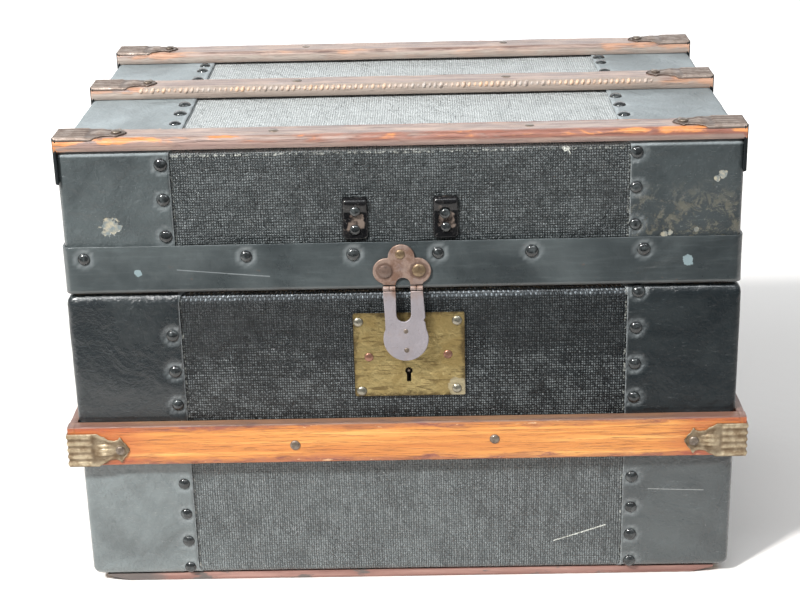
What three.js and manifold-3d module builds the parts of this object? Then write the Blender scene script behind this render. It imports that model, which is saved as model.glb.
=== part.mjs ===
// Small flat-topped steamer trunk: a canvas-covered pine box with a hinged lid, oak slats, stamped clamps,
// a steel rim band, two strap hinges and a hasp lock. Millimetres, +Z up, front towards -Y.
// The origin is on the floor, under the middle of the case.
import * as THREE from "three";
import { mergeVertices } from "three/addons/utils/BufferGeometryUtils.js";
import Module from "manifold-3d";

const wasm = await Module();
wasm.setup();

// ---------------------------------------------------------------- driving dimensions
const GAP = 0.3; // clearance kept between pieces that touch
const COVER_T = 0.8; // painted canvas
const CORNER_T = 1.0; // fibre corner pieces and end bands
const PAPER_T = 0.4; // lining paper

// The case, measured over its fibre corner pieces.
const CASE = { x: 205, y: 125, bottom: 5.3, top: 200.7, board: 9, corner: 4, shoulder: 7, foot: 6 };
// The lid, measured over its fibre end bands.
const LID = { x: 203, y: 123.5, bottom: 201.3, top: 290, board: 8, corner: 4, shoulder: 3, foot: 0 };
const SEAM_X = 136; // where the fibre ends and bare canvas starts, from the middle
const FLANGE = 24; // how far the fibre folds round on to the end faces
const BOTTOM_BOARD_T = 8;

const RIM = { t: 1.2, top: 231 }; // steel band round the lid's lower edge
const LID_SLAT = { width: 24, t: 7.7, proud: 2.5, middleY: 9 };
const CASE_SLAT = { low: 89, high: 115.5, t: 7.5, endT: 5 };
const RUNNER = { width: 24, t: 5, x: 196, taper: 14 };
const CLAMP_T = 0.8;
const LID_CLAMP = { tip: 161, half: 11.5, drop: 20 };
const CORNER_CLAMP = { tip: 172.5, half: 11.2, mid: 100, sideLeg: 38 };
// Half the width of a clamp's spade-shaped end, as shares of its full half width, by distance from the tip.
const SPADE = [[0, 0], [5.5, 0.76], [8, 0.58], [12, 0.58], [20, 1]];

const PLATE = { x0: -30.7, x1: 37.3, z0: 130, z1: 185, t: 0.9, back: -124.0 };
const KEYHOLE = { x: 2.7, z: 146.7, r: 2.3, slot: 2.6, low: 139.5 };
const STAPLE = { x: 1.8, t: 2.2, z0: 162.6, z1: 176.4, leg: 2.0, tip: -121.3 };
const EYE = { y0: -123.8, y1: -122.3 };
const BOLT = { x0: -16, x1: -1.5, z0: 166, z1: 173, y0: -123.5, y1: -122.6, tailX: -8, tailZ: 150 };
const HASP_AXIS = { y: -127.4, z: 202 }; // hinge line of the hasp, along X
const HASP_T = 1.3;
const HASP_PIN_R = 0.6;
const HASP_KNUCKLE_R = 1.5;
const HASP_LUG_SET = 0.8; // the plate's lugs stand this far behind the hinge line, clear of a raised tongue
const HASP_REST_DEG = 9; // how far the hasp hangs out from the plate
const HASP_SLOT = { x0: -4, x1: 4.9, top: 206.5, bottom: 181.3 };
const HASP_DISC = { x: 1.6, z: 170.7, r: 13.7 };

const HINGE = { x: 95, width: 30, y: 127.7, z: 201, pinR: 1.1, knuckleR: 2.3, leafT: 1.2 };
const TAB = { width: 15.5, z0: 232.5, z1: 258.5, t: 1.6, loopR: 2.4 };

// ---------------------------------------------------------------- materials
const finish = (color, roughness, metalness = 0) => new THREE.MeshStandardMaterial({ color, roughness, metalness });
const MATERIALS = {
  pine: finish(0xc9a878, 0.75),
  canvas: finish(0x2a2f31, 0.6),
  fibre: finish(0x23282a, 0.5),
  blackSteel: finish(0x2f3537, 0.45, 0.3),
  oak: finish(0xc07a38, 0.6),
  stampedSteel: finish(0x7d7468, 0.5, 0.7),
  brass: finish(0x8e7a4a, 0.4, 0.9),
  rustySteel: finish(0x8f7868, 0.6, 0.6),
  rivetSteel: finish(0x6f6a5c, 0.5, 0.7),
  paper: finish(0xd8c9a6, 0.9),
};

// ---------------------------------------------------------------- solids
function solidOf(geometry) {
  const bare = new THREE.BufferGeometry();
  bare.setAttribute("position", geometry.getAttribute("position"));
  if (geometry.index) bare.setIndex(geometry.index);
  const merged = mergeVertices(bare, 1e-3);
  const mesh = { numProp: 3, vertProperties: merged.attributes.position.array, triVerts: merged.index.array };
  return new wasm.Manifold(new wasm.Mesh(mesh));
}

function geometryOf(solid) {
  const mesh = solid.getMesh();
  const stride = mesh.numProp;
  const position = new Float32Array(mesh.numVert * 3);
  for (let i = 0; i < mesh.numVert; i++) {
    position.set(mesh.vertProperties.subarray(i * stride, i * stride + 3), i * 3);
  }
  const geometry = new THREE.BufferGeometry();
  geometry.setAttribute("position", new THREE.BufferAttribute(position, 3));
  geometry.setIndex(new THREE.BufferAttribute(new Uint32Array(mesh.triVerts), 1));
  geometry.computeVertexNormals();
  return geometry;
}

// A block between two corners.
function block(x0, x1, y0, y1, z0, z1) {
  const geometry = new THREE.BoxGeometry(x1 - x0, y1 - y0, z1 - z0);
  geometry.translate((x0 + x1) / 2, (y0 + y1) / 2, (z0 + z1) / 2);
  return solidOf(geometry);
}

function roundedRect(halfX, halfY, radius) {
  const shape = new THREE.Shape();
  shape.moveTo(-halfX + radius, -halfY);
  shape.lineTo(halfX - radius, -halfY);
  shape.absarc(halfX - radius, -halfY + radius, radius, -Math.PI / 2, 0);
  shape.lineTo(halfX, halfY - radius);
  shape.absarc(halfX - radius, halfY - radius, radius, 0, Math.PI / 2);
  shape.lineTo(-halfX + radius, halfY);
  shape.absarc(-halfX + radius, halfY - radius, radius, Math.PI / 2, Math.PI);
  shape.lineTo(-halfX, -halfY + radius);
  shape.absarc(-halfX + radius, -halfY + radius, radius, Math.PI, 1.5 * Math.PI);
  return shape;
}

// A box with rounded uprights, top edge and foot, from z0 up to z1: rings of one rounded rectangle, drawn in
// along a quarter circle at the top and at the foot, with a cap on the first and the last.
function roundedBox(halfX, halfY, z0, z1, corner, shoulder, foot = 0) {
  const steps = 4;
  const rings = [];
  for (let i = 0; foot > 0 && i < steps; i++) {
    const angle = (i / steps) * (Math.PI / 2);
    rings.push([foot * (1 - Math.sin(angle)), z0 + foot * (1 - Math.cos(angle))]);
  }
  rings.push([0, z0 + foot]);
  for (let i = 0; i <= steps; i++) {
    const angle = (i / steps) * (Math.PI / 2);
    rings.push([shoulder * (1 - Math.cos(angle)), z1 - shoulder * (1 - Math.sin(angle))]);
  }
  const outline = roundedRect(halfX, halfY, corner).extractPoints(4).shape;
  const count = outline.length;
  const position = [];
  for (const [inset, z] of rings) {
    const sx = (halfX - inset) / halfX;
    const sy = (halfY - inset) / halfY;
    for (const p of outline) position.push(p.x * sx, p.y * sy, z);
  }
  const index = [];
  for (let r = 0; r + 1 < rings.length; r++) {
    for (let i = 0; i < count; i++) {
      const a = r * count + i;
      const b = r * count + ((i + 1) % count);
      index.push(a, b, b + count, a, b + count, a + count);
    }
  }
  const last = (rings.length - 1) * count;
  for (const [i, j, k] of THREE.ShapeUtils.triangulateShape(outline, [])) {
    index.push(i, k, j, last + i, last + j, last + k);
  }
  const geometry = new THREE.BufferGeometry();
  geometry.setAttribute("position", new THREE.Float32BufferAttribute(position, 3));
  geometry.setIndex(index);
  return solidOf(geometry);
}

// The outside of the case or the lid, drawn in by `inset` on every side.
const wrap = (box, inset, bottom = box.bottom) =>
  roundedBox(
    box.x - inset,
    box.y - inset,
    bottom,
    box.top - inset,
    Math.max(box.corner - inset, 0.5),
    Math.max(box.shoulder - inset, 0.5),
    bottom === box.bottom ? Math.max(box.foot - inset, 0) : 0,
  );

// A flat outline in X and Z, given thickness from y0 to y1.
function plate(shape, y0, y1, curveSegments = 10) {
  const geometry = new THREE.ExtrudeGeometry(shape, { depth: y1 - y0, bevelEnabled: false, curveSegments });
  geometry.rotateX(Math.PI / 2);
  geometry.translate(0, y1, 0);
  return solidOf(geometry);
}

// A cross-section in Y and Z, run along X from x0 to x1.
function bar(shape, x0, x1, curveSegments = 8) {
  const geometry = new THREE.ExtrudeGeometry(shape, { depth: x1 - x0, bevelEnabled: false, curveSegments });
  geometry.applyMatrix4(new THREE.Matrix4().set(0, 0, 1, x0, 1, 0, 0, 0, 0, 1, 0, 0, 0, 0, 0, 1));
  return solidOf(geometry);
}

function rodX(r, x0, x1, y, z, sides = 16) {
  const geometry = new THREE.CylinderGeometry(r, r, x1 - x0, sides);
  geometry.rotateZ(Math.PI / 2);
  geometry.translate((x0 + x1) / 2, y, z);
  return solidOf(geometry);
}

// A round piece that stands out of the front, from y0 back to y1.
function rodY(r, x, z, y0, y1, sides = 16, rFront = r) {
  const geometry = new THREE.CylinderGeometry(r, rFront, y1 - y0, sides);
  geometry.translate(x, (y0 + y1) / 2, z);
  return solidOf(geometry);
}

const polygon = (points) => new THREE.Shape(points.map(([u, v]) => new THREE.Vector2(u, v)));
const mirrored = (solid, axis) => solid.scale(axis === "x" ? [-1, 1, 1] : [1, -1, 1]);

// ---------------------------------------------------------------- the scene graph
const trunk = new THREE.Group();
const haspGroup = new THREE.Group(); // hangs out from the plate, turned about its own hinge line
haspGroup.position.set(0, HASP_AXIS.y, HASP_AXIS.z);
haspGroup.rotation.x = THREE.MathUtils.degToRad(-HASP_REST_DEG);
trunk.add(haspGroup);

function add(name, solid, material, parent = trunk) {
  const mesh = new THREE.Mesh(geometryOf(solid), MATERIALS[material]);
  mesh.name = name;
  parent.add(mesh);
}

// ---------------------------------------------------------------- case boards and covering
const caseCanvasOut = CORNER_T + GAP;
const caseBoardOut = caseCanvasOut + COVER_T + GAP;
const CASE_IN = { x: CASE.x - caseBoardOut - CASE.board, y: CASE.y - caseBoardOut - CASE.board };
const caseFloor = CASE.bottom + BOTTOM_BOARD_T;

// The lock's pocket in the front board.
const POCKET = { x0: -20, x1: 26.5, z0: 134.5, z1: 181 };
const throughFront = (grow) =>
  block(POCKET.x0 - grow, POCKET.x1 + grow, -CASE.y - 1, -CASE_IN.y + 1, POCKET.z0 - grow, POCKET.z1 + grow);

function caseBoards() {
  const envelope = wrap(CASE, caseBoardOut, CASE.bottom);
  const big = CASE.x;
  const low = caseFloor + GAP;
  const front = block(-big, big, -CASE.y, -CASE_IN.y, low, CASE.top);
  const back = mirrored(front, "y");
  const right = block(CASE_IN.x, big, -CASE_IN.y + GAP, CASE_IN.y - GAP, low, CASE.top);
  add("case_front_board", envelope.intersect(front).subtract(throughFront(0)), "pine");
  add("case_back_board", envelope.intersect(back), "pine");
  add("case_right_board", envelope.intersect(right), "pine");
  add("case_left_board", envelope.intersect(mirrored(right, "x")), "pine");
  add("case_bottom_board", envelope.intersect(block(-big, big, -CASE.y, CASE.y, CASE.bottom, caseFloor)), "pine");
}

const mouth = (inset) => block(-CASE_IN.x - inset, CASE_IN.x + inset, -CASE_IN.y - inset, CASE_IN.y + inset, 0, 300);

function caseCovering() {
  const shell = wrap(CASE, caseCanvasOut).subtract(wrap(CASE, caseBoardOut - GAP, 0)).subtract(mouth(0));
  add("case_canvas", shell.subtract(throughFront(GAP)), "canvas");
}

function caseCorners() {
  const shell = wrap(CASE, 0).subtract(wrap(CASE, CORNER_T, 0)).subtract(mouth(2));
  const across = block(SEAM_X, CASE.x + 1, -CASE.y - 1, -CASE.y + FLANGE, 0, 300);
  const corner = shell.intersect(across);
  add("case_corner_front_right", corner, "fibre");
  add("case_corner_front_left", mirrored(corner, "x"), "fibre");
  add("case_corner_back_right", mirrored(corner, "y"), "fibre");
  add("case_corner_back_left", mirrored(mirrored(corner, "y"), "x"), "fibre");
}

// ---------------------------------------------------------------- slats and runners on the case
function slatSection(width, thickness, round) {
  const shape = new THREE.Shape();
  shape.moveTo(-width / 2, 0);
  shape.lineTo(width / 2, 0);
  shape.lineTo(width / 2, thickness - round);
  shape.absarc(width / 2 - round, thickness - round, round, 0, Math.PI / 2);
  shape.lineTo(-width / 2 + round, thickness);
  shape.absarc(-width / 2 + round, thickness - round, round, Math.PI / 2, Math.PI);
  return shape;
}

// A slat on a wall: its section lies in the XZ or YZ plane of the wall that it is nailed to.
function wallSlat(length, thickness) {
  const width = CASE_SLAT.high - CASE_SLAT.low;
  const geometry = new THREE.ExtrudeGeometry(slatSection(width, thickness, 1.2), {
    depth: length,
    bevelEnabled: false,
    curveSegments: 3,
  });
  geometry.translate(0, 0, -length / 2);
  // Section width goes to Z, thickness to -Y and length to X.
  geometry.applyMatrix4(new THREE.Matrix4().set(0, 0, 1, 0, 0, -1, 0, 0, 1, 0, 0, 0, 0, 0, 0, 1));
  geometry.translate(0, 0, (CASE_SLAT.low + CASE_SLAT.high) / 2);
  return geometry;
}

function caseSlats() {
  const frontY = CASE.y + GAP;
  const endX = CASE.x + GAP;
  const long = wallSlat(2 * (endX + CASE_SLAT.endT), CASE_SLAT.t);
  long.translate(0, -frontY, 0);
  const front = solidOf(long);
  add("case_slat_front", front, "oak");
  add("case_slat_back", mirrored(front, "y"), "oak");
  const short = wallSlat(2 * CASE.y, CASE_SLAT.endT);
  short.rotateZ(Math.PI / 2);
  short.translate(endX, 0, 0);
  const right = solidOf(short);
  add("case_slat_right", right, "oak");
  add("case_slat_left", mirrored(right, "x"), "oak");
}

// The outline of a strip along X that ends at `edge` and has a spade-shaped tip towards the middle.
function spadeOutline(tip, edge, mid, half) {
  const upper = SPADE.map(([reach, share]) => [tip + reach, mid + half * share]);
  const lower = SPADE.slice(1).map(([reach, share]) => [tip + reach, mid - half * share]);
  return polygon([...upper, [edge, mid + half], [edge, mid - half], ...lower.reverse()]);
}

// A stamped clamp round a corner of the slats: a spade-ended front leg and a plain side leg.
function cornerClamps() {
  const { tip, half, mid, sideLeg } = CORNER_CLAMP;
  const outX = CASE.x + GAP + CASE_SLAT.endT + GAP + CLAMP_T;
  const outY = CASE.y + GAP + CASE_SLAT.t + GAP + CLAMP_T;
  const frontLeg = plate(spadeOutline(tip, outX, mid, half), -outY, -outY + CLAMP_T);
  const sideLegSolid = block(outX - CLAMP_T, outX, -outY, -outY + sideLeg, mid - half, mid + half);
  const clamp = frontLeg.add(sideLegSolid);
  add("slat_corner_front_right", clamp, "brass");
  add("slat_corner_front_left", mirrored(clamp, "x"), "brass");
  add("slat_corner_back_right", mirrored(clamp, "y"), "brass");
  add("slat_corner_back_left", mirrored(mirrored(clamp, "y"), "x"), "brass");
}

function runners() {
  const { width, t, x, taper } = RUNNER;
  const profile = polygon([
    [-x, t],
    [-x, t - 1.5],
    [-x + taper, 0],
    [x - taper, 0],
    [x, t - 1.5],
    [x, t],
  ]);
  const edge = CASE.y - 3 - width / 2;
  for (const [name, y] of [["front", -edge], ["middle", 0], ["back", edge]]) {
    add(`runner_${name}`, plate(profile, y - width / 2, y + width / 2), "oak");
  }
}

// ---------------------------------------------------------------- lid boards and covering
const lidCanvasOut = CORNER_T + GAP;
const lidBoardOut = lidCanvasOut + COVER_T + GAP;
const LID_IN = { x: LID.x - lidBoardOut - LID.board, y: LID.y - lidBoardOut - LID.board };
const lidCeiling = LID.top - lidBoardOut - LID.board;

function lidBoards() {
  const envelope = wrap(LID, lidBoardOut);
  const front = block(-LID.x, LID.x, -LID.y, -LID_IN.y, LID.bottom, lidCeiling - GAP);
  const right = block(LID_IN.x, LID.x, -LID_IN.y + GAP, LID_IN.y - GAP, LID.bottom, lidCeiling - GAP);
  add("lid_front_board", envelope.intersect(front), "pine");
  add("lid_back_board", envelope.intersect(mirrored(front, "y")), "pine");
  add("lid_right_board", envelope.intersect(right), "pine");
  add("lid_left_board", envelope.intersect(mirrored(right, "x")), "pine");
  add("lid_top_board", envelope.intersect(block(-LID.x, LID.x, -LID.y, LID.y, lidCeiling, LID.top)), "pine");
}

function lidCovering() {
  add("lid_canvas", wrap(LID, lidCanvasOut).subtract(wrap(LID, lidBoardOut - GAP, 0)), "canvas");
  const shell = wrap(LID, 0).subtract(wrap(LID, CORNER_T, 0));
  const endWindow = block(LID.x - CORNER_T - 2, LID.x + 1, -LID.y + FLANGE, LID.y - FLANGE, 0, LID.top - FLANGE);
  const band = shell.intersect(block(SEAM_X, LID.x + 1, -LID.y - 1, LID.y + 1, 0, 300)).subtract(endWindow);
  add("lid_end_band_right", band, "fibre");
  add("lid_end_band_left", mirrored(band, "x"), "fibre");
}

function rimBand() {
  const out = GAP + RIM.t;
  const outer = roundedBox(LID.x + out, LID.y + out, LID.bottom, RIM.top, LID.corner + out, 0.4);
  const inner = roundedBox(LID.x + GAP, LID.y + GAP, LID.bottom - 5, RIM.top + 5, LID.corner + GAP, 0.4);
  add("lid_rim_band", outer.subtract(inner), "blackSteel");
}

const LID_SLAT_BOTTOM = LID.top + GAP;
const LID_SLAT_TOP = LID_SLAT_BOTTOM + LID_SLAT.t;

function lidSlats() {
  const { width, t, proud, middleY } = LID_SLAT;
  const rows = {
    front: -LID.y - proud + width / 2,
    middle: middleY,
    back: LID.y - width / 2,
  };
  const section = new THREE.ExtrudeGeometry(slatSection(width, t, 1.6), {
    depth: 2 * LID.x,
    bevelEnabled: false,
    curveSegments: 3,
  });
  // Section width goes to Y, thickness to Z and length to X.
  section.applyMatrix4(new THREE.Matrix4().set(0, 0, 1, -LID.x, 1, 0, 0, 0, 0, 1, 0, LID_SLAT_BOTTOM, 0, 0, 0, 1));
  for (const [row, y] of Object.entries(rows)) {
    add(`lid_slat_${row}`, solidOf(section.clone().translate(0, y, 0)), "oak");
    lidClamps(row, y);
  }
}

// A stamped strip over a slat's end and down the lid's end face.
function lidClamps(row, y) {
  const { tip, half, drop } = LID_CLAMP;
  const low = LID_SLAT_TOP + GAP;
  const outX = LID.x + GAP + CLAMP_T;
  // Drawn as a plate that faces the front, then laid flat.
  const flat = plate(spadeOutline(tip, outX, 0, half), 0, CLAMP_T).rotate([90, 0, 0]);
  const top = flat.translate([0, y, low]);
  const end = block(outX - CLAMP_T, outX, y - half, y + half, LID.top - drop, low + CLAMP_T);
  const clamp = top.add(end);
  add(`lid_clamp_${row}_right`, clamp, "stampedSteel");
  add(`lid_clamp_${row}_left`, mirrored(clamp, "x"), "stampedSteel");
}

// Short folded tabs that once held a front handle: a nailed plate with a rolled loop at its top.
function handleTabs() {
  const back = -LID.y + lidCanvasOut - GAP;
  const section = new THREE.Shape();
  section.moveTo(back, TAB.z0);
  section.lineTo(back, TAB.z1);
  section.absarc(back - TAB.loopR / 2, TAB.z1 - TAB.loopR, TAB.loopR, Math.PI / 2, 1.25 * Math.PI);
  section.lineTo(back - TAB.t, TAB.z1 - 3 * TAB.loopR);
  section.lineTo(back - TAB.t, TAB.z0);
  for (const [side, x] of [["left", -27.2], ["right", 26.9]]) {
    add(`handle_tab_${side}`, bar(section, x - TAB.width / 2, x + TAB.width / 2), "blackSteel");
  }
}

function linings() {
  const cx = CASE_IN.x - GAP;
  const cy = CASE_IN.y - GAP;
  const caseBox = block(-cx, cx, -cy, cy, caseFloor + GAP, CASE.top - 1.5);
  const caseHollow = block(-cx + PAPER_T, cx - PAPER_T, -cy + PAPER_T, cy - PAPER_T, caseFloor + GAP + PAPER_T, 300);
  add("case_lining", caseBox.subtract(caseHollow), "paper");
  const lx = LID_IN.x - GAP;
  const ly = LID_IN.y - GAP;
  const top = lidCeiling - GAP;
  const lidBox = block(-lx, lx, -ly, ly, LID.bottom + 1.2, top);
  const lidHollow = block(-lx + PAPER_T, lx - PAPER_T, -ly + PAPER_T, ly - PAPER_T, 100, top - PAPER_T);
  add("lid_lining", lidBox.subtract(lidHollow), "paper");
}

// ---------------------------------------------------------------- hinges on the back
// Each hinge is two leaves and a pin. The case leaf holds the outer two knuckles, the lid leaf the middle one.
function hinges() {
  const { x, width, y, z, pinR, knuckleR, leafT } = HINGE;
  const third = width / 3;
  const hole = rodX(pinR + 0.25, -width, width, y, z);
  const caseFace = CASE.y - caseCanvasOut + GAP;
  const lidFace = LID.y + GAP + RIM.t + GAP;
  const knuckle = (x0, x1) => rodX(knuckleR, x0, x1, y, z);

  const caseStrap = block(-width / 2, width / 2, caseFace, caseFace + leafT, z - 36, z - 3);
  const lug = (x0, x1) => block(x0, x1, caseFace, y, z - 5, z - 1.2).add(knuckle(x0, x1));
  const outerLugs = lug(-width / 2, -third / 2 - GAP).add(lug(third / 2 + GAP, width / 2));
  const caseLeaf = caseStrap.add(outerLugs).subtract(hole);

  const lidStrap = block(-width / 2, width / 2, lidFace, lidFace + leafT, z + 3, z + 27);
  const middleLug = block(-third / 2, third / 2, lidFace, y, z + 1.2, z + 5).add(knuckle(-third / 2, third / 2));
  const lidLeaf = lidStrap.add(middleLug).subtract(hole);

  const pin = rodX(pinR, -width / 2 - 1, width / 2 + 1, y, z);
  for (const [side, at] of [["left", -x], ["right", x]]) {
    add(`hinge_case_leaf_${side}`, caseLeaf.translate([at, 0, 0]), "blackSteel");
    add(`hinge_lid_leaf_${side}`, lidLeaf.translate([at, 0, 0]), "blackSteel");
    add(`hinge_pin_${side}`, pin.translate([at, 0, 0]), "rivetSteel");
  }
}

// ---------------------------------------------------------------- lock
function lock() {
  const front = PLATE.back - PLATE.t;
  const keyhole = rodY(KEYHOLE.r, KEYHOLE.x, KEYHOLE.z, front - 1, PLATE.back + 1, 20).add(
    block(
      KEYHOLE.x - KEYHOLE.slot / 2,
      KEYHOLE.x + KEYHOLE.slot / 2,
      front - 1,
      PLATE.back + 1,
      KEYHOLE.low,
      KEYHOLE.z,
    ),
  );
  const aperture = block(
    STAPLE.x - STAPLE.t / 2 - 0.5,
    STAPLE.x + STAPLE.t / 2 + 0.5,
    front - 1,
    PLATE.back + 1,
    STAPLE.z0 - 1.4,
    STAPLE.z1 + 0.8,
  );
  const face = block(PLATE.x0, PLATE.x1, front, PLATE.back, PLATE.z0, PLATE.z1);
  add("lock_plate", face.subtract(keyhole).subtract(aperture), "brass");

  // The box in the front board: walls and a back, the guide behind the bolt and the post that the key fits over.
  const wall = 1;
  const box = { x0: POCKET.x0 + GAP, x1: POCKET.x1 - GAP, z0: POCKET.z0 + GAP, z1: POCKET.z1 - GAP };
  const y0 = PLATE.back + GAP;
  const y1 = -CASE_IN.y - 1;
  const outer = block(box.x0, box.x1, y0, y1, box.z0, box.z1);
  const hollow = block(box.x0 + wall, box.x1 - wall, y0 - 1, y1 - wall, box.z0 + wall, box.z1 - wall);
  const guide = block(BOLT.x0 - 2, BOLT.x1 - 1, BOLT.y1 + GAP, y1 - wall / 2, BOLT.z0, BOLT.z1);
  const post = rodY(0.8, KEYHOLE.x, KEYHOLE.z, front + 0.4, y1 - wall / 2, 12);
  add("lock_case", outer.subtract(hollow).add(guide).add(post), "rivetSteel");

  const arm = block(BOLT.x0, BOLT.x1, BOLT.y0, BOLT.y1, BOLT.z0, BOLT.z1);
  const tail = block(BOLT.x0, BOLT.tailX, BOLT.y0, BOLT.y1, BOLT.tailZ, BOLT.z1);
  add("lock_bolt", arm.add(tail), "rivetSteel");
}

// ---------------------------------------------------------------- hasp
const ARMS = [
  { outer: [-11.8, -8.0], inner: [-7.7, -4.2] },
  { outer: [8.6, 12.4], inner: [4.8, 8.3] },
];

function slotShape(x0, x1, z0, z1) {
  const r = (x1 - x0) / 2;
  const shape = new THREE.Shape();
  shape.moveTo(x0, z0 + r);
  shape.absarc(x0 + r, z0 + r, r, Math.PI, 2 * Math.PI);
  shape.lineTo(x1, z1 - r);
  shape.absarc(x0 + r, z1 - r, r, 0, Math.PI);
  return shape;
}

// The fixed upper plate: three round lobes, one for each rivet, over two short arms.
function haspPlate() {
  const y0 = -(LID.y + GAP + RIM.t + GAP + 1.2);
  const y1 = y0 + 1.2;
  const lobes = [[-0.3, 221.4, 8], [-9.4, 212.6, 8], [9.3, 212.6, 8]].map(([x, z, r]) => rodY(r, x, z, y0, y1, 28));
  const skirt = plate(
    polygon([[-11.8, 203.8], [12.4, 203.8], [16, 209], [9, 216], [-9, 216], [-15.5, 209]]),
    y0,
    y1,
  );
  const slot = plate(slotShape(HASP_SLOT.x0, HASP_SLOT.x1, HASP_SLOT.bottom, HASP_SLOT.top), y0 - 3, y1 + 3);
  let solid = lobes[0].add(lobes[1]).add(lobes[2]).add(skirt);
  for (const { inner } of ARMS) {
    const lug = block(inner[0], inner[1], HASP_AXIS.y + HASP_LUG_SET, y1, HASP_AXIS.z + 0.95, HASP_AXIS.z + 3.4);
    solid = solid.add(lug).add(rodX(HASP_KNUCKLE_R, inner[0], inner[1], HASP_AXIS.y, HASP_AXIS.z));
  }
  const hole = rodX(HASP_PIN_R + 0.25, -20, 20, HASP_AXIS.y, HASP_AXIS.z);
  add("hasp_plate", solid.subtract(slot).subtract(hole), "rustySteel");
  for (const [name, x, z, r] of [["top", -1, 223, 2.4], ["left", -10.2, 212.6, 3.3], ["right", 10.2, 212.8, 3.4]]) {
    add(`hasp_rivet_${name}`, rodY(r, x, z, y0 - GAP - 1, y0 - GAP, 20, r * 0.7), "rivetSteel");
  }
  for (const [side, arm] of [["left", ARMS[0]], ["right", ARMS[1]]]) {
    const ends = [...arm.outer, ...arm.inner];
    const pin = rodX(HASP_PIN_R, Math.min(...ends), Math.max(...ends), HASP_AXIS.y, HASP_AXIS.z);
    add(`hasp_pin_${side}`, pin, "rivetSteel");
  }
}

// The swinging tongue, drawn hanging straight down from its hinge line: two arms round a slot, and a disc.
function haspTongue() {
  const half = HASP_T / 2;
  const top = HASP_AXIS.z - HASP_KNUCKLE_R - GAP;
  const y0 = HASP_AXIS.y - half;
  const y1 = HASP_AXIS.y + half;
  const neck = polygon([[-11.8, top], [-11.3, 190], [-10.9, 178], [14, 178], [13.2, 190], [12.4, top]]);
  const disc = rodY(HASP_DISC.r, HASP_DISC.x, HASP_DISC.z, y0, y1, 40);
  const slot = plate(slotShape(HASP_SLOT.x0, HASP_SLOT.x1, HASP_SLOT.bottom, HASP_SLOT.top), y0 - 1, y1 + 1);
  let solid = plate(neck, y0, y1).add(disc).subtract(slot);
  for (const { outer } of ARMS) {
    const lug = block(outer[0], outer[1], y0, y1, top - 1, HASP_AXIS.z - 0.95);
    solid = solid.add(lug).add(rodX(HASP_KNUCKLE_R, outer[0], outer[1], HASP_AXIS.y, HASP_AXIS.z));
  }
  solid = solid.subtract(rodX(HASP_PIN_R + 0.25, -20, 20, HASP_AXIS.y, HASP_AXIS.z));
  const toHinge = [0, -HASP_AXIS.y, -HASP_AXIS.z];
  add("hasp_tongue", solid.translate(toHinge), "rustySteel", haspGroup);

  const x0 = STAPLE.x - STAPLE.t / 2;
  const x1 = STAPLE.x + STAPLE.t / 2;
  const loop = block(x0, x1, y1 + GAP, STAPLE.tip, STAPLE.z0, STAPLE.z1);
  const eye = block(x0 - 1, x1 + 1, EYE.y0, EYE.y1, STAPLE.z0 + STAPLE.leg, STAPLE.z1 - STAPLE.leg);
  add("hasp_staple", loop.subtract(eye).translate(toHinge), "rivetSteel", haspGroup);
}

caseBoards();
caseCovering();
caseCorners();
caseSlats();
cornerClamps();
runners();
lidBoards();
lidCovering();
rimBand();
lidSlats();
handleTabs();
linings();
hinges();
lock();
haspPlate();
haspTongue();

export default trunk;
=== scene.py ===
import math
from functools import partial
from itertools import product

import bmesh
import bpy
import numpy as np
from bpy.props import FloatProperty, FloatVectorProperty, PointerProperty
from mathutils import Matrix, Vector, noise


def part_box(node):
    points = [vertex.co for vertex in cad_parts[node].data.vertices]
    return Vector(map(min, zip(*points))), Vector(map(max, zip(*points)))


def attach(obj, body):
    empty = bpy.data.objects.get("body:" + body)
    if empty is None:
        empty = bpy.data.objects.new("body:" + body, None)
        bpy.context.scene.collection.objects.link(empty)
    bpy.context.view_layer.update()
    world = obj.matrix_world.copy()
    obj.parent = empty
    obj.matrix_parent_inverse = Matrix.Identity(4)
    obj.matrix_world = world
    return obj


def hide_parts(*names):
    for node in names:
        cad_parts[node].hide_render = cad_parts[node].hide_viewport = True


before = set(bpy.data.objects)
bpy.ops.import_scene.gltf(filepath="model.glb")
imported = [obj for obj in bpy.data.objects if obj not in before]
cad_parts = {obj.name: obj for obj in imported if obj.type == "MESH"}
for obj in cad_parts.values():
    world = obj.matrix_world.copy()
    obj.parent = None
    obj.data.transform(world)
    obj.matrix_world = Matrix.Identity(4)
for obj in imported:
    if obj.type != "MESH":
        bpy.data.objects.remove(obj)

bl_info = {
    "name": "Small steamer trunk",
    "version": (1, 0, 0),
    "blender": (4, 5, 0),
    "location": "View3D > Sidebar > Trunk",
    "description": "Covers, slats, stamped metalwork, nails and lock of a small flat-topped trunk",
    "category": "Object",
}

MM = 0.001
FRONT, BACK, RIGHT, UP = Vector((0, -1, 0)), Vector((0, 1, 0)), Vector((1, 0, 0)), Vector((0, 0, 1))
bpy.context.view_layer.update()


# ---------------------------------------------------------------- sizes and colours a user would change
def tone(red, green, blue):
    """A colour given as 0 to 255 on a screen, as linear light."""
    parts = []
    for value in (red, green, blue):
        share = value / 255
        parts.append(share / 12.92 if share <= 0.04045 else ((share + 0.055) / 1.055) ** 2.4)
    return (*parts, 1.0)


def length(name, description, millimetres):
    return FloatProperty(
        name=name, description=description, default=millimetres * MM, unit="LENGTH", precision=5, min=0
    )


def colour(name, description, red, green, blue):
    return FloatVectorProperty(
        name=name,
        description=description,
        default=tone(red, green, blue),
        subtype="COLOR",
        size=4,
        min=0,
        max=1,
    )


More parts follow.
